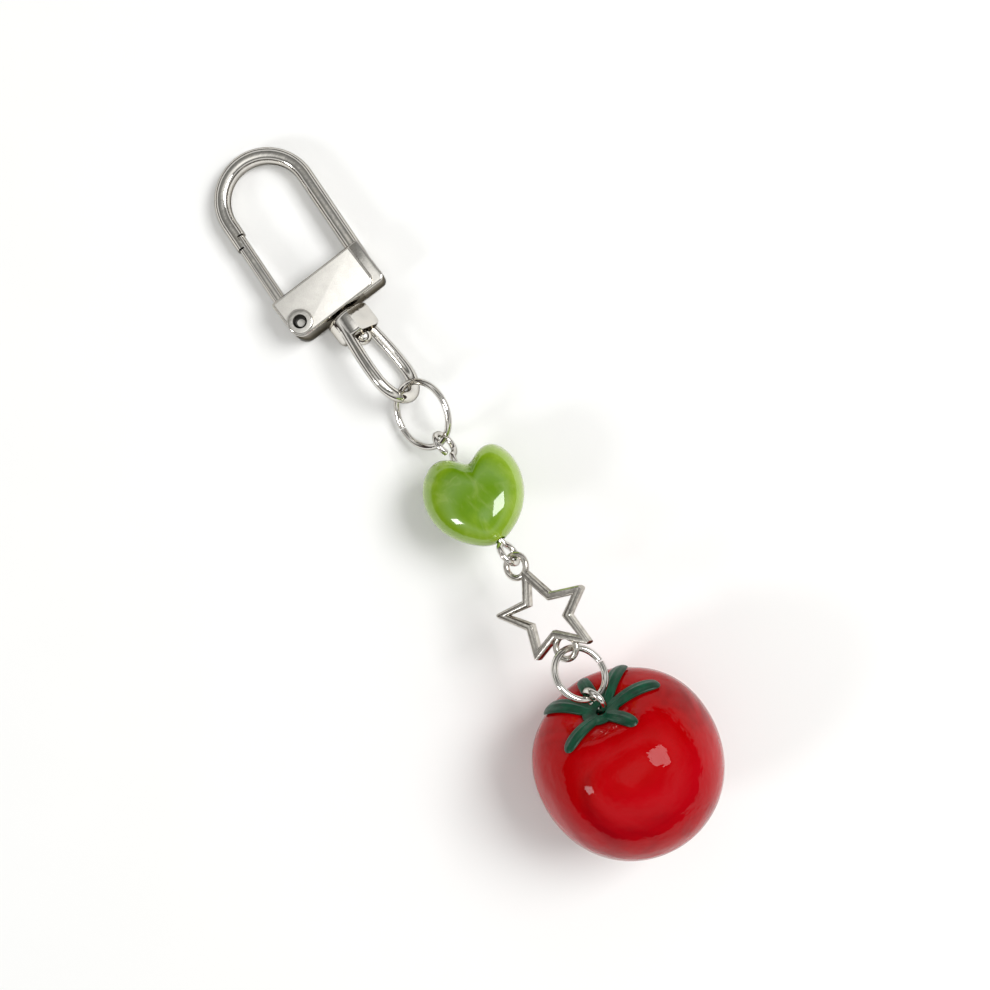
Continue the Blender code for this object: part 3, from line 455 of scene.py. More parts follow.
class Finish:
    """A node material that is built in the part's own coordinates, in millimetres."""

    def __init__(self, name, metallic, roughness):
        self.material = bpy.data.materials.new(name)
        self.material.use_nodes = True
        self.nodes, self.links = self.material.node_tree.nodes, self.material.node_tree.links
        self.shader = self.nodes["Principled BSDF"]
        self.set(Metallic=metallic, Roughness=roughness)
        where = self.nodes.new("ShaderNodeTexCoord").outputs["Object"]
        mapping = self.nodes.new("ShaderNodeMapping")
        mapping.inputs["Scale"].default_value = (1000, 1000, 1000)
        self.links.new(where, mapping.inputs["Vector"])
        self.place = mapping.outputs["Vector"]

    def set(self, **values):
        for name, value in values.items():
            self.shader.inputs[name.replace("_", " ")].default_value = value

    def noise(self, scale, detail=4.0, distortion=0.0, stretch=None):
        """Cloudy noise with a feature about 1 / scale millimetres wide."""
        node = self.nodes.new("ShaderNodeTexNoise")
        node.inputs["Scale"].default_value = scale
        node.inputs["Detail"].default_value = detail
        node.inputs["Distortion"].default_value = distortion
        place = self.place
        if stretch:
            mapping = self.nodes.new("ShaderNodeMapping")
            mapping.inputs["Scale"].default_value = stretch
            self.links.new(place, mapping.inputs["Vector"])
            place = mapping.outputs["Vector"]
        self.links.new(place, node.inputs["Vector"])
        return node.outputs["Fac"]

    def cells(self, scale, feature="F1"):
        node = self.nodes.new("ShaderNodeTexVoronoi")
        node.feature = feature
        node.inputs["Scale"].default_value = scale
        self.links.new(self.place, node.inputs["Vector"])
        return node.outputs["Distance"]

    def shade(self):
        """The number stored at each point of the surface."""
        node = self.nodes.new("ShaderNodeAttribute")
        node.attribute_name = "shade"
        return node.outputs["Fac"]

    def ramp(self, value, *stops):
        """A colour ramp through (position, colour) stops."""
        node = self.nodes.new("ShaderNodeValToRGB")
        elements = node.color_ramp.elements
        while len(elements) < len(stops):
            elements.new(0.5)
        for element, (position, tint) in zip(elements, stops):
            element.position, element.color = position, (*tuple(tint)[:3], 1)
        self.links.new(value, node.inputs["Fac"])
        return node.outputs["Color"]

    def range(self, value, low, high, start=0.0, end=1.0):
        """value from low..high to start..end, kept inside."""
        node = self.nodes.new("ShaderNodeMapRange")
        for key, number in (("From Min", low), ("From Max", high), ("To Min", start), ("To Max", end)):
            node.inputs[key].default_value = number
        self.links.new(value, node.inputs["Value"])
        return node.outputs["Result"]

    def mix(self, share, first, second, blend="MIX"):
        node = self.nodes.new("ShaderNodeMix")
        node.data_type, node.blend_type = "RGBA", blend
        for socket, value in ((node.inputs[0], share), (node.inputs[6], first), (node.inputs[7], second)):
            if isinstance(value, bpy.types.NodeSocket):
                self.links.new(value, socket)
            elif isinstance(value, float):
                socket.default_value = value
            else:
                socket.default_value = (*tuple(value)[:3], 1)
        return node.outputs[2]

    def maths(self, operation, first, second):
        node = self.nodes.new("ShaderNodeMath")
        node.operation = operation
        for socket, value in zip(node.inputs, (first, second)):
            if isinstance(value, float):
                socket.default_value = value
            else:
                self.links.new(value, socket)
        return node.outputs[0]

    def bump(self, height, strength, depth, under=None):
        """Raises the surface by depth (in metres) times height."""
        node = self.nodes.new("ShaderNodeBump")
        node.inputs["Strength"].default_value = strength
        node.inputs["Distance"].default_value = depth
        self.links.new(height, node.inputs["Height"])
        if under:
            self.links.new(under, node.inputs["Normal"])
        return node.outputs["Normal"]

    def to(self, socket, value):
        self.links.new(value, self.shader.inputs[socket])


def darker(tint, share):
    return tuple(c * share for c in tuple(tint)[:3])


def finish(name, metallic, roughness):
    """Makes a function that fills in a finish build it once, under this name, and then share it."""
    def wrapped(fill):
        def shared():
            if name not in bpy.data.materials:
                fill(Finish(name, metallic, roughness))
            return bpy.data.materials[name]
        shared.__doc__ = fill.__doc__
        return shared
    return wrapped


@finish("bright_plating", 1.0, 0.14)
def plated(made):
    """Bright nickel: soft clouds of tone, hairline scratches and a faint orange-peel waviness."""
    made.set(Specular_Tint=(0.09, 0.08, 0.065, 1.0))
    tone = finishes().plate
    clouds, fine = made.noise(0.35, 6.0), made.noise(9.0, 3.0)
    scratches = made.noise(5.0, 2.0, 0.4, (1.0, 0.08, 1.0))
    made.to("Base Color", made.mix(made.range(fine, 0.35, 0.75, 0.0, 0.35),
                                   made.ramp(clouds, (0.3, darker(tone, 0.86)), (0.5, tone),
                                             (0.72, (0.84, 0.80, 0.72))), darker(tone, 0.8)))
    made.to("Roughness", made.range(scratches, 0.45, 0.75, 0.06, 0.17))
    wavy = made.bump(made.noise(0.9, 2.0), 0.35, 0.00006)
    made.to("Normal", made.bump(scratches, 0.25, 0.000006, wavy))


@finish("satin_face", 1.0, 0.45)
def satin(made):
    """The housing's faces: the same plating over a finely blasted, slightly mottled surface."""
    made.set(Specular_Tint=(0.3, 0.28, 0.25, 1.0))
    tone = finishes().plate
    grain, mottle = made.noise(7.0, 5.0), made.noise(0.8, 4.0)
    made.to("Base Color", made.mix(made.range(grain, 0.35, 0.7, 0.0, 0.5),
                                   made.ramp(mottle, (0.32, darker(tone, 1.08)), (0.62, (0.95, 0.93, 0.87))),
                                   darker(tone, 0.86)))
    made.to("Roughness", made.range(grain, 0.3, 0.7, 0.40, 0.54))
    made.to("Normal", made.bump(grain, 0.5, 0.00003))


@finish("cast_star_plating", 1.0, 0.24)
def cast(made):
    """Cast metal under thin plating: pitted, uneven and dull in patches."""
    made.set(Specular_Tint=(0.14, 0.125, 0.10, 1.0))
    tone = finishes().cast
    clouds, pits = made.noise(1.1, 6.0, 0.6), made.cells(3.2)
    made.to("Base Color", made.ramp(clouds, (0.28, darker(tone, 0.60)), (0.45, darker(tone, 1.05)),
                                    (0.68, (0.80, 0.77, 0.70))))
    made.to("Roughness", made.range(clouds, 0.3, 0.7, 0.28, 0.14))
    rough = made.bump(pits, 0.3, 0.000006)
    made.to("Normal", made.bump(made.noise(1.4, 3.0), 0.5, 0.00003, rough))


@finish("spring_wire", 1.0, 0.3)
def spring_steel(made):
    tone = finishes().steel
    drawn = made.noise(4.0, 4.0)
    made.to("Base Color", made.ramp(drawn, (0.3, darker(tone, 0.7)), (0.7, tone)))
    made.to("Roughness", made.range(drawn, 0.3, 0.7, 0.24, 0.42))
    made.to("Normal", made.bump(drawn, 0.3, 0.00001))


@finish("shadowed_inside", 0.0, 0.6)
def painted_shade_inside(made):
    """The unpolished inside of the housing and of the rivet's bore."""
    shade_mottle = made.noise(2.5, 5.0)
    made.to("Base Color", made.ramp(shade_mottle, (0.3, (0.008, 0.008, 0.007)), (0.7, (0.035, 0.032, 0.028))))
    made.to("Roughness", made.range(shade_mottle, 0.3, 0.7, 0.42, 0.62))
    made.to("Normal", made.bump(shade_mottle, 0.4, 0.00004))


@finish("pearl_glaze", 0.0, 0.22)
def glaze(made):
    """Pearl lustre over green: deep in the middle of the faces, pale where the glaze runs thin, with
    drifting clouds, a few pits and a clear coat over it."""
    deep, pale = finishes().glaze_deep, finishes().glaze_pale
    clouds, streaks = made.noise(0.16, 3.0, 1.0), made.noise(0.35, 3.0, 1.2, (0.7, 1.2, 1.0))
    thin = made.maths("ADD", made.shade(), made.range(clouds, 0.3, 0.7, -0.22, 0.22))
    green = made.ramp(thin, (0.06, deep), (0.34, (0.20, 0.35, 0.010)), (0.62, (0.30, 0.46, 0.045)),
                      (0.88, pale), (1.0, (0.44, 0.53, 0.24)))
    # Painted lustre sheen: paler green streaks mixed into the glaze.
    made.to("Base Color", made.mix(made.range(streaks, 0.5, 0.80, 0.0, 0.35), green, (0.42, 0.52, 0.15)))
    made.to("Roughness", made.range(streaks, 0.3, 0.7, 0.16, 0.30))
    pits = made.bump(made.range(made.cells(1.3), 0.0, 0.12), 0.25, 0.00003)
    made.to("Normal", made.bump(clouds, 0.5, 0.0003, pits))
    made.set(Coat_Weight=1.0, Coat_Roughness=0.02, Coat_IOR=1.6, Specular_IOR_Level=0.15)


@finish("tomato_lacquer", 0.0, 0.5)
def tomato_skin(made):
    """Thick clear lacquer over red: broad darker clouds, fine flecks and long soft ripples."""
    red, deep = finishes().red, finishes().red_deep
    clouds, flecks = made.noise(0.10, 4.0, 0.8), made.noise(6.0, 4.0)
    body = made.ramp(clouds, (0.30, deep), (0.48, red), (0.72, (0.47, 0.001, 0.004)))
    rosy = made.mix(made.range(made.shade(), 0.62, 1.0, 0.0, 0.4), body, (0.46, 0.003, 0.012))
    made.to("Base Color", made.mix(made.range(flecks, 0.6, 0.8, 0.0, 0.30), rosy, deep))
    made.to("Roughness", made.range(flecks, 0.3, 0.7, 0.5, 0.62))
    ripples = made.bump(made.noise(0.16, 2.0, 0.5), 0.6, 0.0006)
    made.to("Normal", made.bump(flecks, 0.15, 0.00001, ripples))
    made.to("Coat Normal", made.bump(made.noise(0.22, 3.0, 0.3), 0.5, 0.0005))
    made.set(Coat_Weight=1.0, Coat_Roughness=0.03, Coat_IOR=1.22, Specular_IOR_Level=0.0)


@finish("calyx_leaf", 0.0, 0.4)
def leaf(made):
    """Satin green with fine fibres along the sepals and darker, rubbed edges."""
    tone = finishes().leaf
    fibres, patches = made.noise(3.5, 5.0, 0.6), made.noise(0.6, 4.0)
    body = made.ramp(patches, (0.30, darker(tone, 0.55)), (0.52, tone), (0.75, (0.004, 0.095, 0.048)))
    made.to("Base Color", made.mix(made.range(made.shade(), 0.75, 1.0, 0.0, 0.6), body, darker(tone, 0.45)))
    made.to("Roughness", made.range(fibres, 0.3, 0.7, 0.30, 0.50))
    made.to("Normal", made.bump(fibres, 0.5, 0.00008))
    made.set(Coat_Weight=0.25, Coat_Roughness=0.3, Specular_IOR_Level=0.25)


@finish("table_top", 0.0, 0.7)
def table_top(made):
    tone = finishes().table
    fibre = made.noise(0.05, 4.0)
    made.to("Base Color", made.ramp(fibre, (0.3, darker(tone, 0.99)), (0.7, tone)))
    made.to("Roughness", made.range(fibre, 0.3, 0.7, 0.66, 0.74))


# Operators: one for the stage and one for each piece or pair


class CharmOperator:
    bl_options = {"REGISTER", "UNDO"}

    def execute(self, context):
        self.build(context.scene)
        return {"FINISHED"}


class CHARM_OT_stage(CharmOperator, bpy.types.Operator):
    """Camera straight above, a pale table, two window-like soft lights and a dim room"""
    bl_idname, bl_label = "charm.stage", "Stage"

    def build(self, scene):
        camera = bpy.data.objects.new("camera", bpy.data.cameras.new("camera"))
        camera.data.sensor_width, camera.data.angle = 36, radians(34.2)
        camera.data.clip_start, camera.data.clip_end = 0.01, 10
        camera.location, camera.rotation_euler = (0.00373, 0.00477, 0.240), (0, 0, radians(57.0))
        scene.collection.objects.link(camera)
        scene.camera = camera

        n = 40
        line = np.linspace(-1, 1, n)
        y, x = np.meshgrid(line, line)
        table = new_piece("table", np.stack([x, y, 0 * x - 2e-5], axis=-1).reshape(-1, 3),
                          skin_faces(n, n, False, False), table_top())
        table.data.flip_normals()

        for name, place, size, power, tint in (
            ("main_window", (0.07, 0.35, 0.60), (0.33, 0.30), 3.3, (1.0, 1.0, 1.0)),
            ("side_window", (-0.04, -0.80, 0.56), (0.20, 0.22), 2.0, (0.98, 0.99, 1.0)),
        ):
            light = bpy.data.lights.new(name, "AREA")
            light.shape, light.size, light.size_y = "RECTANGLE", *size
            light.energy, light.color = power, tint
            lamp = bpy.data.objects.new(name, light)
            lamp.location = place
            lamp.rotation_euler = (-lamp.location).to_track_quat("-Z", "Y").to_euler()
            scene.collection.objects.link(lamp)
        self.room(scene)

    def room(self, scene):
        """The room's light by height: a dark band at eye level, brighter overhead."""
        world = scene.world or bpy.data.worlds.new("room")
        scene.world = world
        world.use_nodes = True
        nodes, links = world.node_tree.nodes, world.node_tree.links
        where = nodes.new("ShaderNodeTexCoord").outputs["Generated"]
        split = nodes.new("ShaderNodeSeparateXYZ")
        ramp = nodes.new("ShaderNodeValToRGB")
        elements = ramp.color_ramp.elements
        elements[0].position, elements[0].color = 0.0, (0.03, 0.024, 0.022, 1)
        elements[1].position, elements[1].color = 1.0, (1.25, 1.25, 1.23, 1)
        for position, tint in ((0.20, (0.05, 0.037, 0.033, 1)), (0.40, (0.38, 0.38, 0.37, 1)),
                               (0.62, (0.92, 0.92, 0.91, 1)), (0.80, (0.13, 0.13, 0.125, 1)),
                               (0.93, (0.30, 0.30, 0.29, 1))):
            elements.new(position).color = tint
        links.new(where, split.inputs[0])
        links.new(split.outputs["Z"], ramp.inputs["Fac"])
        links.new(ramp.outputs["Color"], nodes["Background"].inputs["Color"])
        nodes["Background"].inputs["Strength"].default_value = 1.0


class CHARM_OT_hook(CharmOperator, bpy.types.Operator):
    """The cast housing with its side bar and the bow that stands on it"""
    bl_idname, bl_label = "charm.hook", "Hook body"

    def build(self, scene):
        s, axes, bow_place = sizes(), hook_axes(), bow_axes()
        metal, face, inside = plated(), satin(), painted_shade_inside()
        low, high, half = -s.box_width / 2, s.box_width / 2, s.box_thickness / 2
        plate, corner = high - 1.5 * MM, 0.9 * MM

        points, faces = pillow([(0, low, corner / 2), (s.box_length, low, 2 * corner),
                                (s.box_length, plate, 1.5 * corner), (0, plate, corner / 2)],
                               -half, half, 0.38 * MM)
        body = new_piece("hook_housing", axes.place(points), faces, metal)

        # The cutters carry the near-black painted-shade finish (inside) onto the faces they leave, so the hollow and
        # the holes are painted with shade.
        def cutter(name, shape, place=axes):
            points, faces = shape
            return new_piece(name, place.place(points), faces, inside)

        def drill(name, radius, start, end, stand=None):
            return rod(name, start, end, radius, axes, inside, 48, stand)

        room, rivet = half - 1.0 * MM, (4.7 * MM, rivet_side())
        carve(body, [
            cutter("hollow", block((-corner, low - corner, -room),
                                   (s.box_length - 1.2 * MM, plate - 2 * corner, room))),
            drill("gate_pocket", 1.8 * MM, -room, room, rivet),
            drill("rivet_hole", 1.15 * MM, -2 * half, 2 * half, rivet),
            drill("post_hole", 1.2 * MM, s.box_length / 2, 2 * s.box_length),
        ])
        normals = np.empty(len(body.data.polygons) * 3)
        body.data.polygons.foreach_get("normal", normals)
        slots = np.empty(len(body.data.polygons), np.int32)
        body.data.polygons.foreach_get("material_index", slots)
        body.data.materials.append(face)
        flat = np.abs(normals.reshape(-1, 3) @ axes.turn[2]) > 0.985
        slots[flat & (slots == 0)] = len(body.data.materials) - 1
        body.data.polygons.foreach_set("material_index", slots)

        step = 0.45 * MM
        points, faces = pillow([(-0.12 * MM, plate - 3 * corner, corner / 3),
                                (s.box_length + 0.12 * MM, plate - 3 * corner, corner / 3),
                                (s.box_length + 0.12 * MM, high, corner),
                                (-0.12 * MM, high, corner / 3)], step - half, half - step, 0.28 * MM)
        side_bar = new_piece("hook_side_bar", axes.place(points), faces, metal)

        radius = (s.box_width - s.bar_width) / 2
        straight = np.linspace(s.box_length / 2, -s.bow_straight, 24)[:-1]
        legs = np.stack([straight, np.full(23, radius), 0 * straight], axis=1)
        bend = arc(-s.bow_straight, radius, pi / 2, 3 * pi / 2, 96)
        down = np.linspace(-s.bow_straight, -9.3 * MM, 12)[1:]
        nose = np.stack([down, np.full(11, -radius), 0 * down], axis=1)
        bow = wire("hook_bow", np.concatenate([legs, bend, nose]), oval(s.bar_width, s.bar_depth, 40, 2.7),
                   bow_place, metal, dome=0.02 * MM)
        edge = s.bar_width
        carve(bow, [cutter("lap", block((-11.1 * MM, -radius, -2 * edge), (0, -radius + edge, 2 * edge)),
                           bow_place)])

        fitted(body, "hook", "plated_metal", "hook_body")
        fitted(side_bar, "hook", "plated_metal")
        fitted(bow, "hook", "plated_metal")


def rivet_side():
    """The rivet's middle, sideways: 0.75 mm inside the gate's middle line."""
    return -(sizes().box_width - sizes().bar_width) / 2 + 0.75 * MM


class CHARM_OT_gate(CharmOperator, bpy.types.Operator):
    """The gate's bar with its lapped tip and its eye, the flared rivet and the small spring"""
    bl_idname, bl_label = "charm.gate", "Gate, rivet and spring"

    def build(self, scene):
        s, axes, bow_place, metal = sizes(), hook_axes(), bow_axes(), plated()
        line = -(s.box_width - s.bar_width) / 2
        tip, pivot = 0.2 * MM - 11.1 * MM, 4.7 * MM
        x = np.linspace(tip, pivot, 60)
        gate = wire("gate_bar", np.stack([x, np.full(60, line), 0 * x], axis=1),
                    oval(s.gate_width, 2.6 * MM, 36, 2.7), bow_place, metal, dome=0.05 * MM)
        points, faces = block((-22 * MM, line - s.gate_width, -2.6 * MM),
                              (0.2 * MM - 9.3 * MM, line + 0.1 * MM, 2.6 * MM))
        lap = new_piece("gate_lap", bow_place.place(points), faces, metal)
        thick = s.box_thickness / 2 - 1.2 * MM
        stand = pivot, rivet_side()
        eye = rod("gate_eye", -thick, thick, 1.6 * MM, axes, metal, stand=stand)
        hole = rod("gate_bore", -3 * MM, 3 * MM, 1.15 * MM, axes, metal, stand=stand)
        carve(gate, [lap])
        carve(gate, [eye], "UNION")
        carve(gate, [hole])
        fitted(gate, "gate", "plated_metal", "gate")

        under, flange = s.box_thickness / 2 + 0.1 * MM, 1.9 * MM
        t = np.linspace(0, pi / 2, 7)
        rim = np.stack([under + 0.25 * MM + 0.2 * MM * np.sin(t), flange - 0.3 * MM * (1 - np.cos(t))], axis=1)
        flare = np.linspace(0, 1, 9)
        mouth = np.stack([under + 0.45 * MM - 1.1 * MM * flare, 1.05 * MM - 0.45 * MM * np.sin(flare * pi / 2)],
                         axis=1)
        half = np.concatenate([[(under, 0.95 * MM), (under, flange - 0.05 * MM), (under + 0.08 * MM, flange)],
                               rim, mouth])
        profile = np.concatenate([half[::-1] * (-1, 1), half])
        rivet = skin("gate_rivet_tube", upright(turned(profile), *stand), axes, metal, round_rows=True)
        # Painted shade: the faces of the bore and of its lower mouth take the near-black finish.
        rivet.data.materials.append(painted_shade_inside())
        middles = np.array([p.center for p in rivet.data.polygons]) - axes.place(np.array([*stand, 0]))
        off_axis = np.linalg.norm(middles - np.outer(middles @ axes.turn[2], axes.turn[2]), axis=1)
        height = middles @ axes.turn[2]
        shaded_bore_mask = (off_axis < 0.85 * MM) & (height < under + 0.1 * MM)
        rivet.data.polygons.foreach_set("material_index", shaded_bore_mask.astype(np.int32))
        fitted(rivet, "hook", "plated_metal", "gate_rivet")

        start = line + s.gate_width / 2 + 0.36 * MM
        end = s.box_width / 2 - 1.5 * MM - 1.8 * MM - 0.36 * MM
        t = np.linspace(0, 1, 6 * 32 + 1)
        coil = np.stack([1.8 * MM + 0.95 * MM * np.cos(12 * pi * t), start + (end - start) * t,
                         0.95 * MM * np.sin(12 * pi * t)], axis=1)
        spring = wire("gate_spring_coil", coil, oval(0.32 * MM, 0.32 * MM, 10), axes, spring_steel(),
                      normal=(0.0, 1.0, 0.0), dome=0.03 * MM)
        tuple(axes.place(np.array([1.8 * MM, end, 0.0])))
        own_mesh(spring)
        fitted(spring, "hook", "spring_steel", "gate_spring")


class CHARM_OT_swivel(CharmOperator, bpy.types.Operator):
    """The swivel's collar with its oval eye, and the post whose button shows inside the eye"""
    bl_idname, bl_label = "charm.swivel", "Swivel eye and post"

    def build(self, scene):
        s, axes, metal = sizes(), swivel_axes(), plated()
        start, end, radius = 0.4 * MM, 4.3 * MM, 3.45 * MM
        t = np.linspace(0, pi / 2, 8)
        shoulder = 0.75 * MM
        near = np.stack([start + shoulder * (1 - np.cos(t)), radius - shoulder * (1 - np.sin(t))], axis=1)
        far = near[::-1] * (-1, 1) + (start + end, 0)
        collar = skin("swivel_collar", turned(np.concatenate([[(start, 0)], near, far, [(end, 0)]]), 72),
                      axes, metal)
        cutters = []
        for name, low, high in (("top_flat", 2.2, 6.6), ("bottom_flat", -6.6, -2.2)):
            points, faces = block((0, -7 * MM, low * MM), (8 * MM, 7 * MM, high * MM))
            cutters.append(new_piece(name, axes.place(points), faces, metal))
        carve(collar, cutters)
        eye = wire("eye_loop", resampled(self.eye_line(s), 0.16 * MM, 0.5 * MM), oval(s.eye_wire, s.eye_wire, 32),
                   axes, metal)
        carve(collar, [eye], "UNION")
        # The bore is lined with the near-black painted shade.
        carve(collar, [rod("collar_bore", 0, 8 * MM, 1.2 * MM, axes, painted_shade_inside(), 48)])
        fitted(collar, "swivel", "plated_metal", "swivel_eye")

        head, foot, button = -1.4 * MM, 4.5 * MM, 1.25 * MM
        dome = np.stack([foot + button * (0.25 + 0.85 * np.sin(t)), button * np.cos(t)], axis=1)
        profile = np.concatenate([[(head - 0.8 * MM, 0), (head - 0.8 * MM, 1.6 * MM), (head - 0.7 * MM, 1.7 * MM),
                                   (head, 1.7 * MM), (head, 1.0 * MM), (foot, 1.0 * MM), (foot, button)], dome])
        post = skin("swivel_post_rivet", turned(profile), axes, metal)
        fitted(post, "swivel", "plated_metal", "swivel_post")

    def eye_line(self, s):
        """The eye's middle line: it swells from the collar by a quarter sine and closes in half an
        ellipse, and its other side mirrors the first."""
        half, foot, neck = (s.eye_width - s.eye_wire) / 2, 2.545 * MM, 2.55 * MM
        end = 16.7 * MM - s.eye_wire / 2
        middle = end - half * 1.12
        t = np.linspace(0, 1, 40)[:-1]
        side = np.stack([foot + (middle - foot) * t, neck + (half - neck) * np.sin(t * pi / 2), 0 * t], axis=1)
        a = np.linspace(0, pi, 80)
        tip = np.stack([middle + (end - middle) * np.sin(a), half * np.cos(a), 0 * a], axis=1)
        return np.concatenate([side, tip, side[::-1] * (1, -1, 1)])


class CHARM_OT_rings(CharmOperator, bpy.types.Operator):
    """The two jump rings, each closed with a small cut"""
    bl_idname, bl_label = "charm.rings", "Jump rings"

    def build(self, scene):
        s = sizes()
        for node, body, width, next_joint, far, cut in (
            ("upper_jump_ring", "upper_ring", s.upper_ring, "eye_pin_swing", 2.0, -100.0),
            ("lower_jump_ring", "lower_ring", s.lower_ring, "drop_swing", 5.0, 100.0),
        ):
            radius = (width - s.ring_wire) / 2
            gap, start = 0.30 * MM / radius, radians(cut)
            path = arc(0, radius, start + gap / 2, start + 2 * pi - gap / 2, 200)
            ring = wire(f"{node}_wire", path, oval(s.ring_wire, s.ring_wire, 20),
                        ring_axes(node, next_joint, far), plated(), dome=0.07 * MM)
            fitted(ring, body, "plated_metal", node)


class CHARM_OT_pin(CharmOperator, bpy.types.Operator):
    """The eye pin: a straight wire with a loop turned at each end"""
    bl_idname, bl_label = "charm.pin", "Eye pin"

    def build(self, scene):
        s = sizes()
        first = self.looped(1.85 * MM, s.pin_wire)
        last = self.looped(1.7 * MM, s.pin_wire)[::-1] * (-1, 1, 1) + (s.pin_length, 0, 0)
        path = resampled(np.concatenate([first, last]), 0.12 * MM, 0.4 * MM)
        pin = wire("eye_pin_wire", path, oval(s.pin_wire, s.pin_wire, 20), pin_axes(), plated(), dome=0.07 * MM)
        fitted(pin, "pin", "plated_metal", "eye_pin")

    def looped(self, radius, thick):
        """A loop from its cut end round to the straight wire: most of a circle, then a short bend."""
        spare = 2 * (thick / 2 + 0.2 * MM) / radius
        loop = arc(radius, radius, -spare * 0.75, -2 * pi + spare * 0.25, 60)
        return np.concatenate([loop, [[2 * radius + thick, 0, 0]]])


class CHARM_OT_bead(CharmOperator, bpy.types.Operator):
    """The glazed heart bead, bored from cleft to tip"""
    bl_idname, bl_label = "charm.bead", "Heart bead"

    def build(self, scene):
        level, place = bead_axes()
        angle = np.linspace(0, 2 * pi, 220, endpoint=False)[None, :]
        fall = np.linspace(0, pi, 110)[:, None]
        share = self.outline(angle) * np.sin(fall) ** 0.8
        grid = np.stack([6.2 * MM * share * np.cos(angle), 5.9 * MM * share * np.sin(angle),
                         sizes().bead_thickness * np.cos(fall) + 0 * angle], axis=-1)
        # Painted sheen: shade rises towards the bead's rim, more on one side, and the glaze is paler where it is
        # high; this stands partly for the glaze running thin over the edges and partly for the pearl lustre's sheen.
        shade = np.clip(np.sin(fall) ** 2.2 * (0.75 + 0.25 * np.cos(angle - 2.4)) + 0 * angle, 0, 1)
        broad_lobe, narrow_lobe = 1.15, 0.98
        grid[..., 1] *= np.where(grid[..., 1] < 0, broad_lobe, narrow_lobe)
        bead = skin("heart_bead_body", grid, place, glaze(), crease=60.0, shade=shade)
        bore = rod("bead_bore", -15 * MM, 15 * MM, 0.75 * MM, level, glaze(), 40)
        carve(bead, [bore], crease=40.0)
        fitted(bead, "bead", "green_pearl_glaze", "heart_bead")

    def outline(self, angle):
        """The heart by the angle from its tip: 1 + a swell towards the lobes + a small point at the
        tip - a dip at the cleft."""
        away = np.abs(np.arctan2(np.sin(angle), np.cos(angle)))
        swell = 0.54 * ((1 - np.cos(away)) / 2) ** 2
        return 1 + swell + 0.09 * np.exp(-((away / 0.44) ** 2)) - 0.6 * np.exp(-(((pi - away) / 0.35) ** 2))


class CHARM_OT_star(CharmOperator, bpy.types.Operator):
    """The open five-point star with a cast loop at each end"""
    bl_idname, bl_label = "charm.star", "Star link"

    def build(self, scene):
        s, axes, metal = sizes(), star_axes(), cast()
        section = chamfered(s.star_bar, s.star_depth, 0.26 * s.star_bar)
        star = skin("star_link_frame", carried(self.corners(), section, closed=True), axes, metal,
                    round_rows=True)
        rounded_edges(star, 0.09 * MM, 2, 25.0)
        rim = np.linspace(0, 2 * pi, 120, endpoint=False)
        x, y, lean = 8.1 * MM * np.cos(rim), 6.4 * MM * np.sin(rim), radians(45.0)
        oval_rim = np.stack([10 * MM + x * np.cos(lean) - y * np.sin(lean), x * np.sin(lean) + y * np.cos(lean)],
                            axis=1)
        points, faces = slab(oval_rim, -2 * s.star_depth, 2 * s.star_depth)
        carve(star, [new_piece("blunt_tips", axes.place(points), faces, metal)], "INTERSECT")
        radius, thick = 1.65 * MM, 0.9 * MM
        inside, deep = radius - thick / 2, s.star_depth
        middles = (radius, s.star_length - radius)
        holes = [rod(f"loop_hole_{k}", -deep, deep, inside, axes, metal, 40, (middle, 0))
                 for k, middle in enumerate(middles)]
        carve(star, holes)
        loops = [wire(f"loop_{k}", arc(middle, radius, 0, 2 * pi, 64)[:-1], oval(thick, thick, 18), axes, metal,
                      closed=True) for k, middle in enumerate(middles)]
        carve(star, loops, "UNION", 35.0)
        fitted(star, "star", "cast_star_metal", "star_link")

    def corners(self):
        """Five points and five notches round (10, 0) mm: x = 7.6 r cos a, y = 5.9 r sin a with r = 1
        or 0.47, along axes that lie at 45 degrees, the points turned by -13 degrees."""
        lean, k = radians(45.0), np.arange(10)
        a = pi - k * pi / 5 + radians(-13.0) - lean
        share = np.where(k % 2, 0.47, 1.0)
        x, y = 7.6 * MM * share * np.cos(a), 5.9 * MM * share * np.sin(a)
        return np.stack([10 * MM + x * np.cos(lean) - y * np.sin(lean), x * np.sin(lean) + y * np.cos(lean),
                         0 * x], axis=1)


def tomato_middle():
    """The tomato's middle along its screw eye: the eye, the neck for the calyx and the pole."""
    s = sizes()
    neck = s.ring_wire / 2 + 0.4 * MM + s.calyx_thickness
    return 4.2 * MM - s.ring_wire + neck + s.tomato_pole


def on_tomato(angle, fall, lift=0.0):
    """A point over the skin: the radius is the shoulder's less a dimple at the stem, exp(-(f/0.44)^2),
    and a slight one below, plus a swell round the dimple and five shallow lobes that fade below it."""
    s = sizes()
    stem = (s.tomato_radius - s.tomato_pole) * np.exp(-((fall / 0.44) ** 2))
    foot = 0.06 * s.tomato_radius * np.exp(-(((pi - fall) / 0.4) ** 2))
    lobes = 0.16 * MM * np.cos(5 * angle + 0.6) + 0.10 * MM * np.cos(2 * angle - 0.9)
    lobes = lobes * np.sin(fall) ** 2 * np.exp(-((fall - 1.0) / 0.9) ** 2)
    swell = 0.34 * MM * np.exp(-(((fall - 0.88) / 0.4) ** 2))
    radius = s.tomato_radius - stem - foot + swell + lobes + lift
    return np.stack([tomato_middle() - radius * np.cos(fall), radius * np.sin(fall) * np.cos(angle),
                     radius * np.sin(fall) * np.sin(angle)], axis=-1)


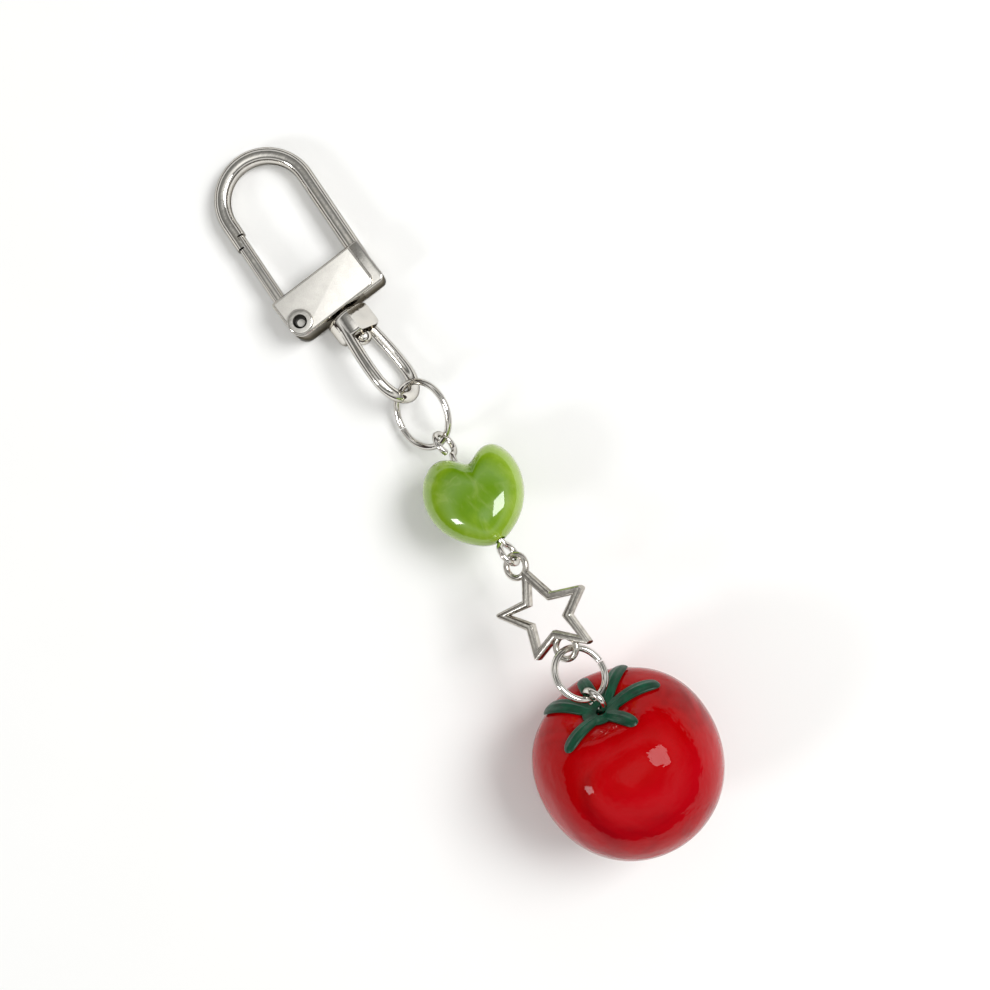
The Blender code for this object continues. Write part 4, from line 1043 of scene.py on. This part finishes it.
class CHARM_OT_tomato(CharmOperator, bpy.types.Operator):
    """The tomato: a lacquered body with a stem dimple, bored for the screw eye"""
    bl_idname, bl_label = "charm.tomato", "Tomato"

    def build(self, scene):
        s, place, lacquer = sizes(), tomato_axes(), tomato_skin()
        angle = np.linspace(0, 2 * pi, 240, endpoint=False)[None, :]
        fall = np.linspace(0, pi, 140)[:, None]
        grid = on_tomato(angle + 0 * fall, fall + 0 * angle)
        shade = np.sin(fall) ** 3 + 0 * angle
        body = skin("tomato_skin", grid, place, lacquer, crease=60.0, shade=shade)
        start, end = tomato_middle() - s.tomato_radius, tomato_middle() - s.tomato_pole + 7.2 * MM
        hole = rod("screw_bore", start, end, 0.8 * MM, place, lacquer, 32)
        carve(body, [hole], crease=40.0)
        fitted(body, "tomato", "tomato_red", "tomato_body")


class CHARM_OT_calyx(CharmOperator, bpy.types.Operator):
    """The calyx: strip-like sepals that follow the skin from a hole round the screw eye"""
    bl_idname, bl_label = "charm.calyx", "Calyx"

    def build(self, scene):
        s, place, columns, rows = sizes(), tomato_axes(), 900, 30
        angle = 2 * pi * np.arange(columns)[None, :] / columns
        share = np.linspace(0, 1, rows + 1)[:, None]
        reach, rib = self.reach(angle)
        hole = 0.7 * MM
        along = hole + (reach - hole) * share
        fall = along / s.tomato_pole
        thick = s.calyx_thickness * (1 - 0.30 * share ** 2) * np.sqrt(np.clip(1 - share ** 10, 0, 1))
        ridge = 0.16 * MM * rib * np.clip((along - hole) / (3 * MM), 0, 1) * (1 - share ** 6)
        lift = 0.2 * MM + 0.10 * MM * np.clip((along - 4 * MM) / (3 * MM), 0, 1) ** 2
        under = on_tomato(angle + 0 * share, fall, lift)
        over = on_tomato(angle + 0 * share, fall, lift + thick + ridge)
        grid = np.concatenate([under, over[-2::-1]])
        shade = np.concatenate([share + 0 * angle, share[-2::-1] + 0 * angle])
        calyx = skin("calyx_sepals", grid, place, leaf(), round_rows=True, crease=50.0, shade=shade)
        fitted(calyx, "tomato", "calyx_green", "calyx")

    def reach(self, angle):
        """How far the leaf reaches at an angle round the stem, and how near that is to a mid-rib. A
        sepal is a strip: half width / sin(away), cut off at its length by a round end."""
        reach, rib = np.full(angle.shape, 2.45 * MM), np.zeros(angle.shape)
        for degrees_round, long, wide in ((0, 5.8, 0.95), (84, 6.4, 1.0), (162, 7.8, 1.05), (205, 6.2, 0.9),
                                          (248, 7.3, 1.0), (300, 7.1, 1.05)):
            away = np.abs(np.arctan2(np.sin(angle - radians(degrees_round)), np.cos(angle - radians(degrees_round))))
            strip = wide * MM / np.maximum(np.sin(np.minimum(away, pi / 2)), 1e-4)
            tip = long * MM * (1 - 0.5 * (away / 0.38) ** 2)
            sepal = (strip ** -6.0 + np.maximum(tip, 1e-4) ** -6.0) ** (-1 / 6.0)
            reach = np.where(away < 0.8, np.maximum(reach, sepal), reach)
            rib = np.maximum(rib, np.exp(-((away / 0.05) ** 2)))
        return reach, rib


class CHARM_OT_screw_eye(CharmOperator, bpy.types.Operator):
    """The screw eye: a loop of wire on a threaded shank"""
    bl_idname, bl_label = "charm.screw_eye", "Screw eye"

    def build(self, scene):
        s, place, metal = sizes(), tomato_axes(), plated()
        thick = s.ring_wire
        radius = (4.2 * MM - thick) / 2
        spare = (thick + 0.2 * MM) / radius
        top = tomato_middle() - s.tomato_pole
        loop = arc(radius, radius, -spare * 1.1, -2 * pi + spare * 0.25, 70)
        path = np.concatenate([loop, [[top - 0.5 * MM, 0, 0], [top + 1.35 * MM, 0, 0]]])
        eye = wire("screw_eye_wire", resampled(path, 0.12 * MM, 0.3 * MM), oval(thick, thick, 20), place, metal,
                   dome=0.08 * MM)
        x = np.linspace(top + 1.0 * MM, top + 7.0 * MM, 240)
        thread = np.abs((x - top) / (0.9 * MM) % 1 - 0.5) * 2
        point = np.clip((top + 7.0 * MM - x) / (1.2 * MM), 0, 1)
        radii = (thick / 2 * 0.9 + 0.12 * MM * thread) * np.sqrt(point)
        radii[0] = 0
        shank = skin("screw_eye_shank", turned(np.stack([x, radii], axis=1), 32), place, metal)
        fitted(eye, "tomato", "plated_metal", "screw_eye")
        fitted(shank, "tomato", "plated_metal")


class CHARM_PT_panel(bpy.types.Panel):
    """The charm's sizes and finishes, and a button for each piece"""
    bl_label, bl_space_type, bl_region_type, bl_category = "Bag Charm", "VIEW_3D", "UI", "Bag Charm"

    def draw(self, context):
        for group in (context.scene.charm_sizes, context.scene.charm_finishes):
            column = self.layout.column(align=True)
            for name in type(group).__annotations__:
                column.prop(group, name)
        for operator in OPERATORS:
            self.layout.operator(operator.bl_idname)


OPERATORS = (CHARM_OT_stage, CHARM_OT_hook, CHARM_OT_gate, CHARM_OT_swivel, CHARM_OT_rings, CHARM_OT_pin,
             CHARM_OT_bead, CHARM_OT_star, CHARM_OT_tomato, CHARM_OT_calyx, CHARM_OT_screw_eye)
CLASSES = (CharmSizes, CharmFinishes, *OPERATORS, CHARM_PT_panel)


def register():
    for cls in CLASSES:
        bpy.utils.register_class(cls)
    bpy.types.Scene.charm_sizes = PointerProperty(type=CharmSizes)
    bpy.types.Scene.charm_finishes = PointerProperty(type=CharmFinishes)


def unregister():
    del bpy.types.Scene.charm_finishes, bpy.types.Scene.charm_sizes
    for cls in reversed(CLASSES):
        bpy.utils.unregister_class(cls)


def main():
    register()
    for obj in [o for o in bpy.data.objects if o.name in ("Cube", "Light", "Camera")]:
        bpy.data.objects.remove(obj)
    bpy.context.scene.view_settings.view_transform = "Standard"
    for operator in OPERATORS:
        group, name = operator.bl_idname.split(".")
        getattr(getattr(bpy.ops, group), name)()


if __name__ == "__main__":
    main()
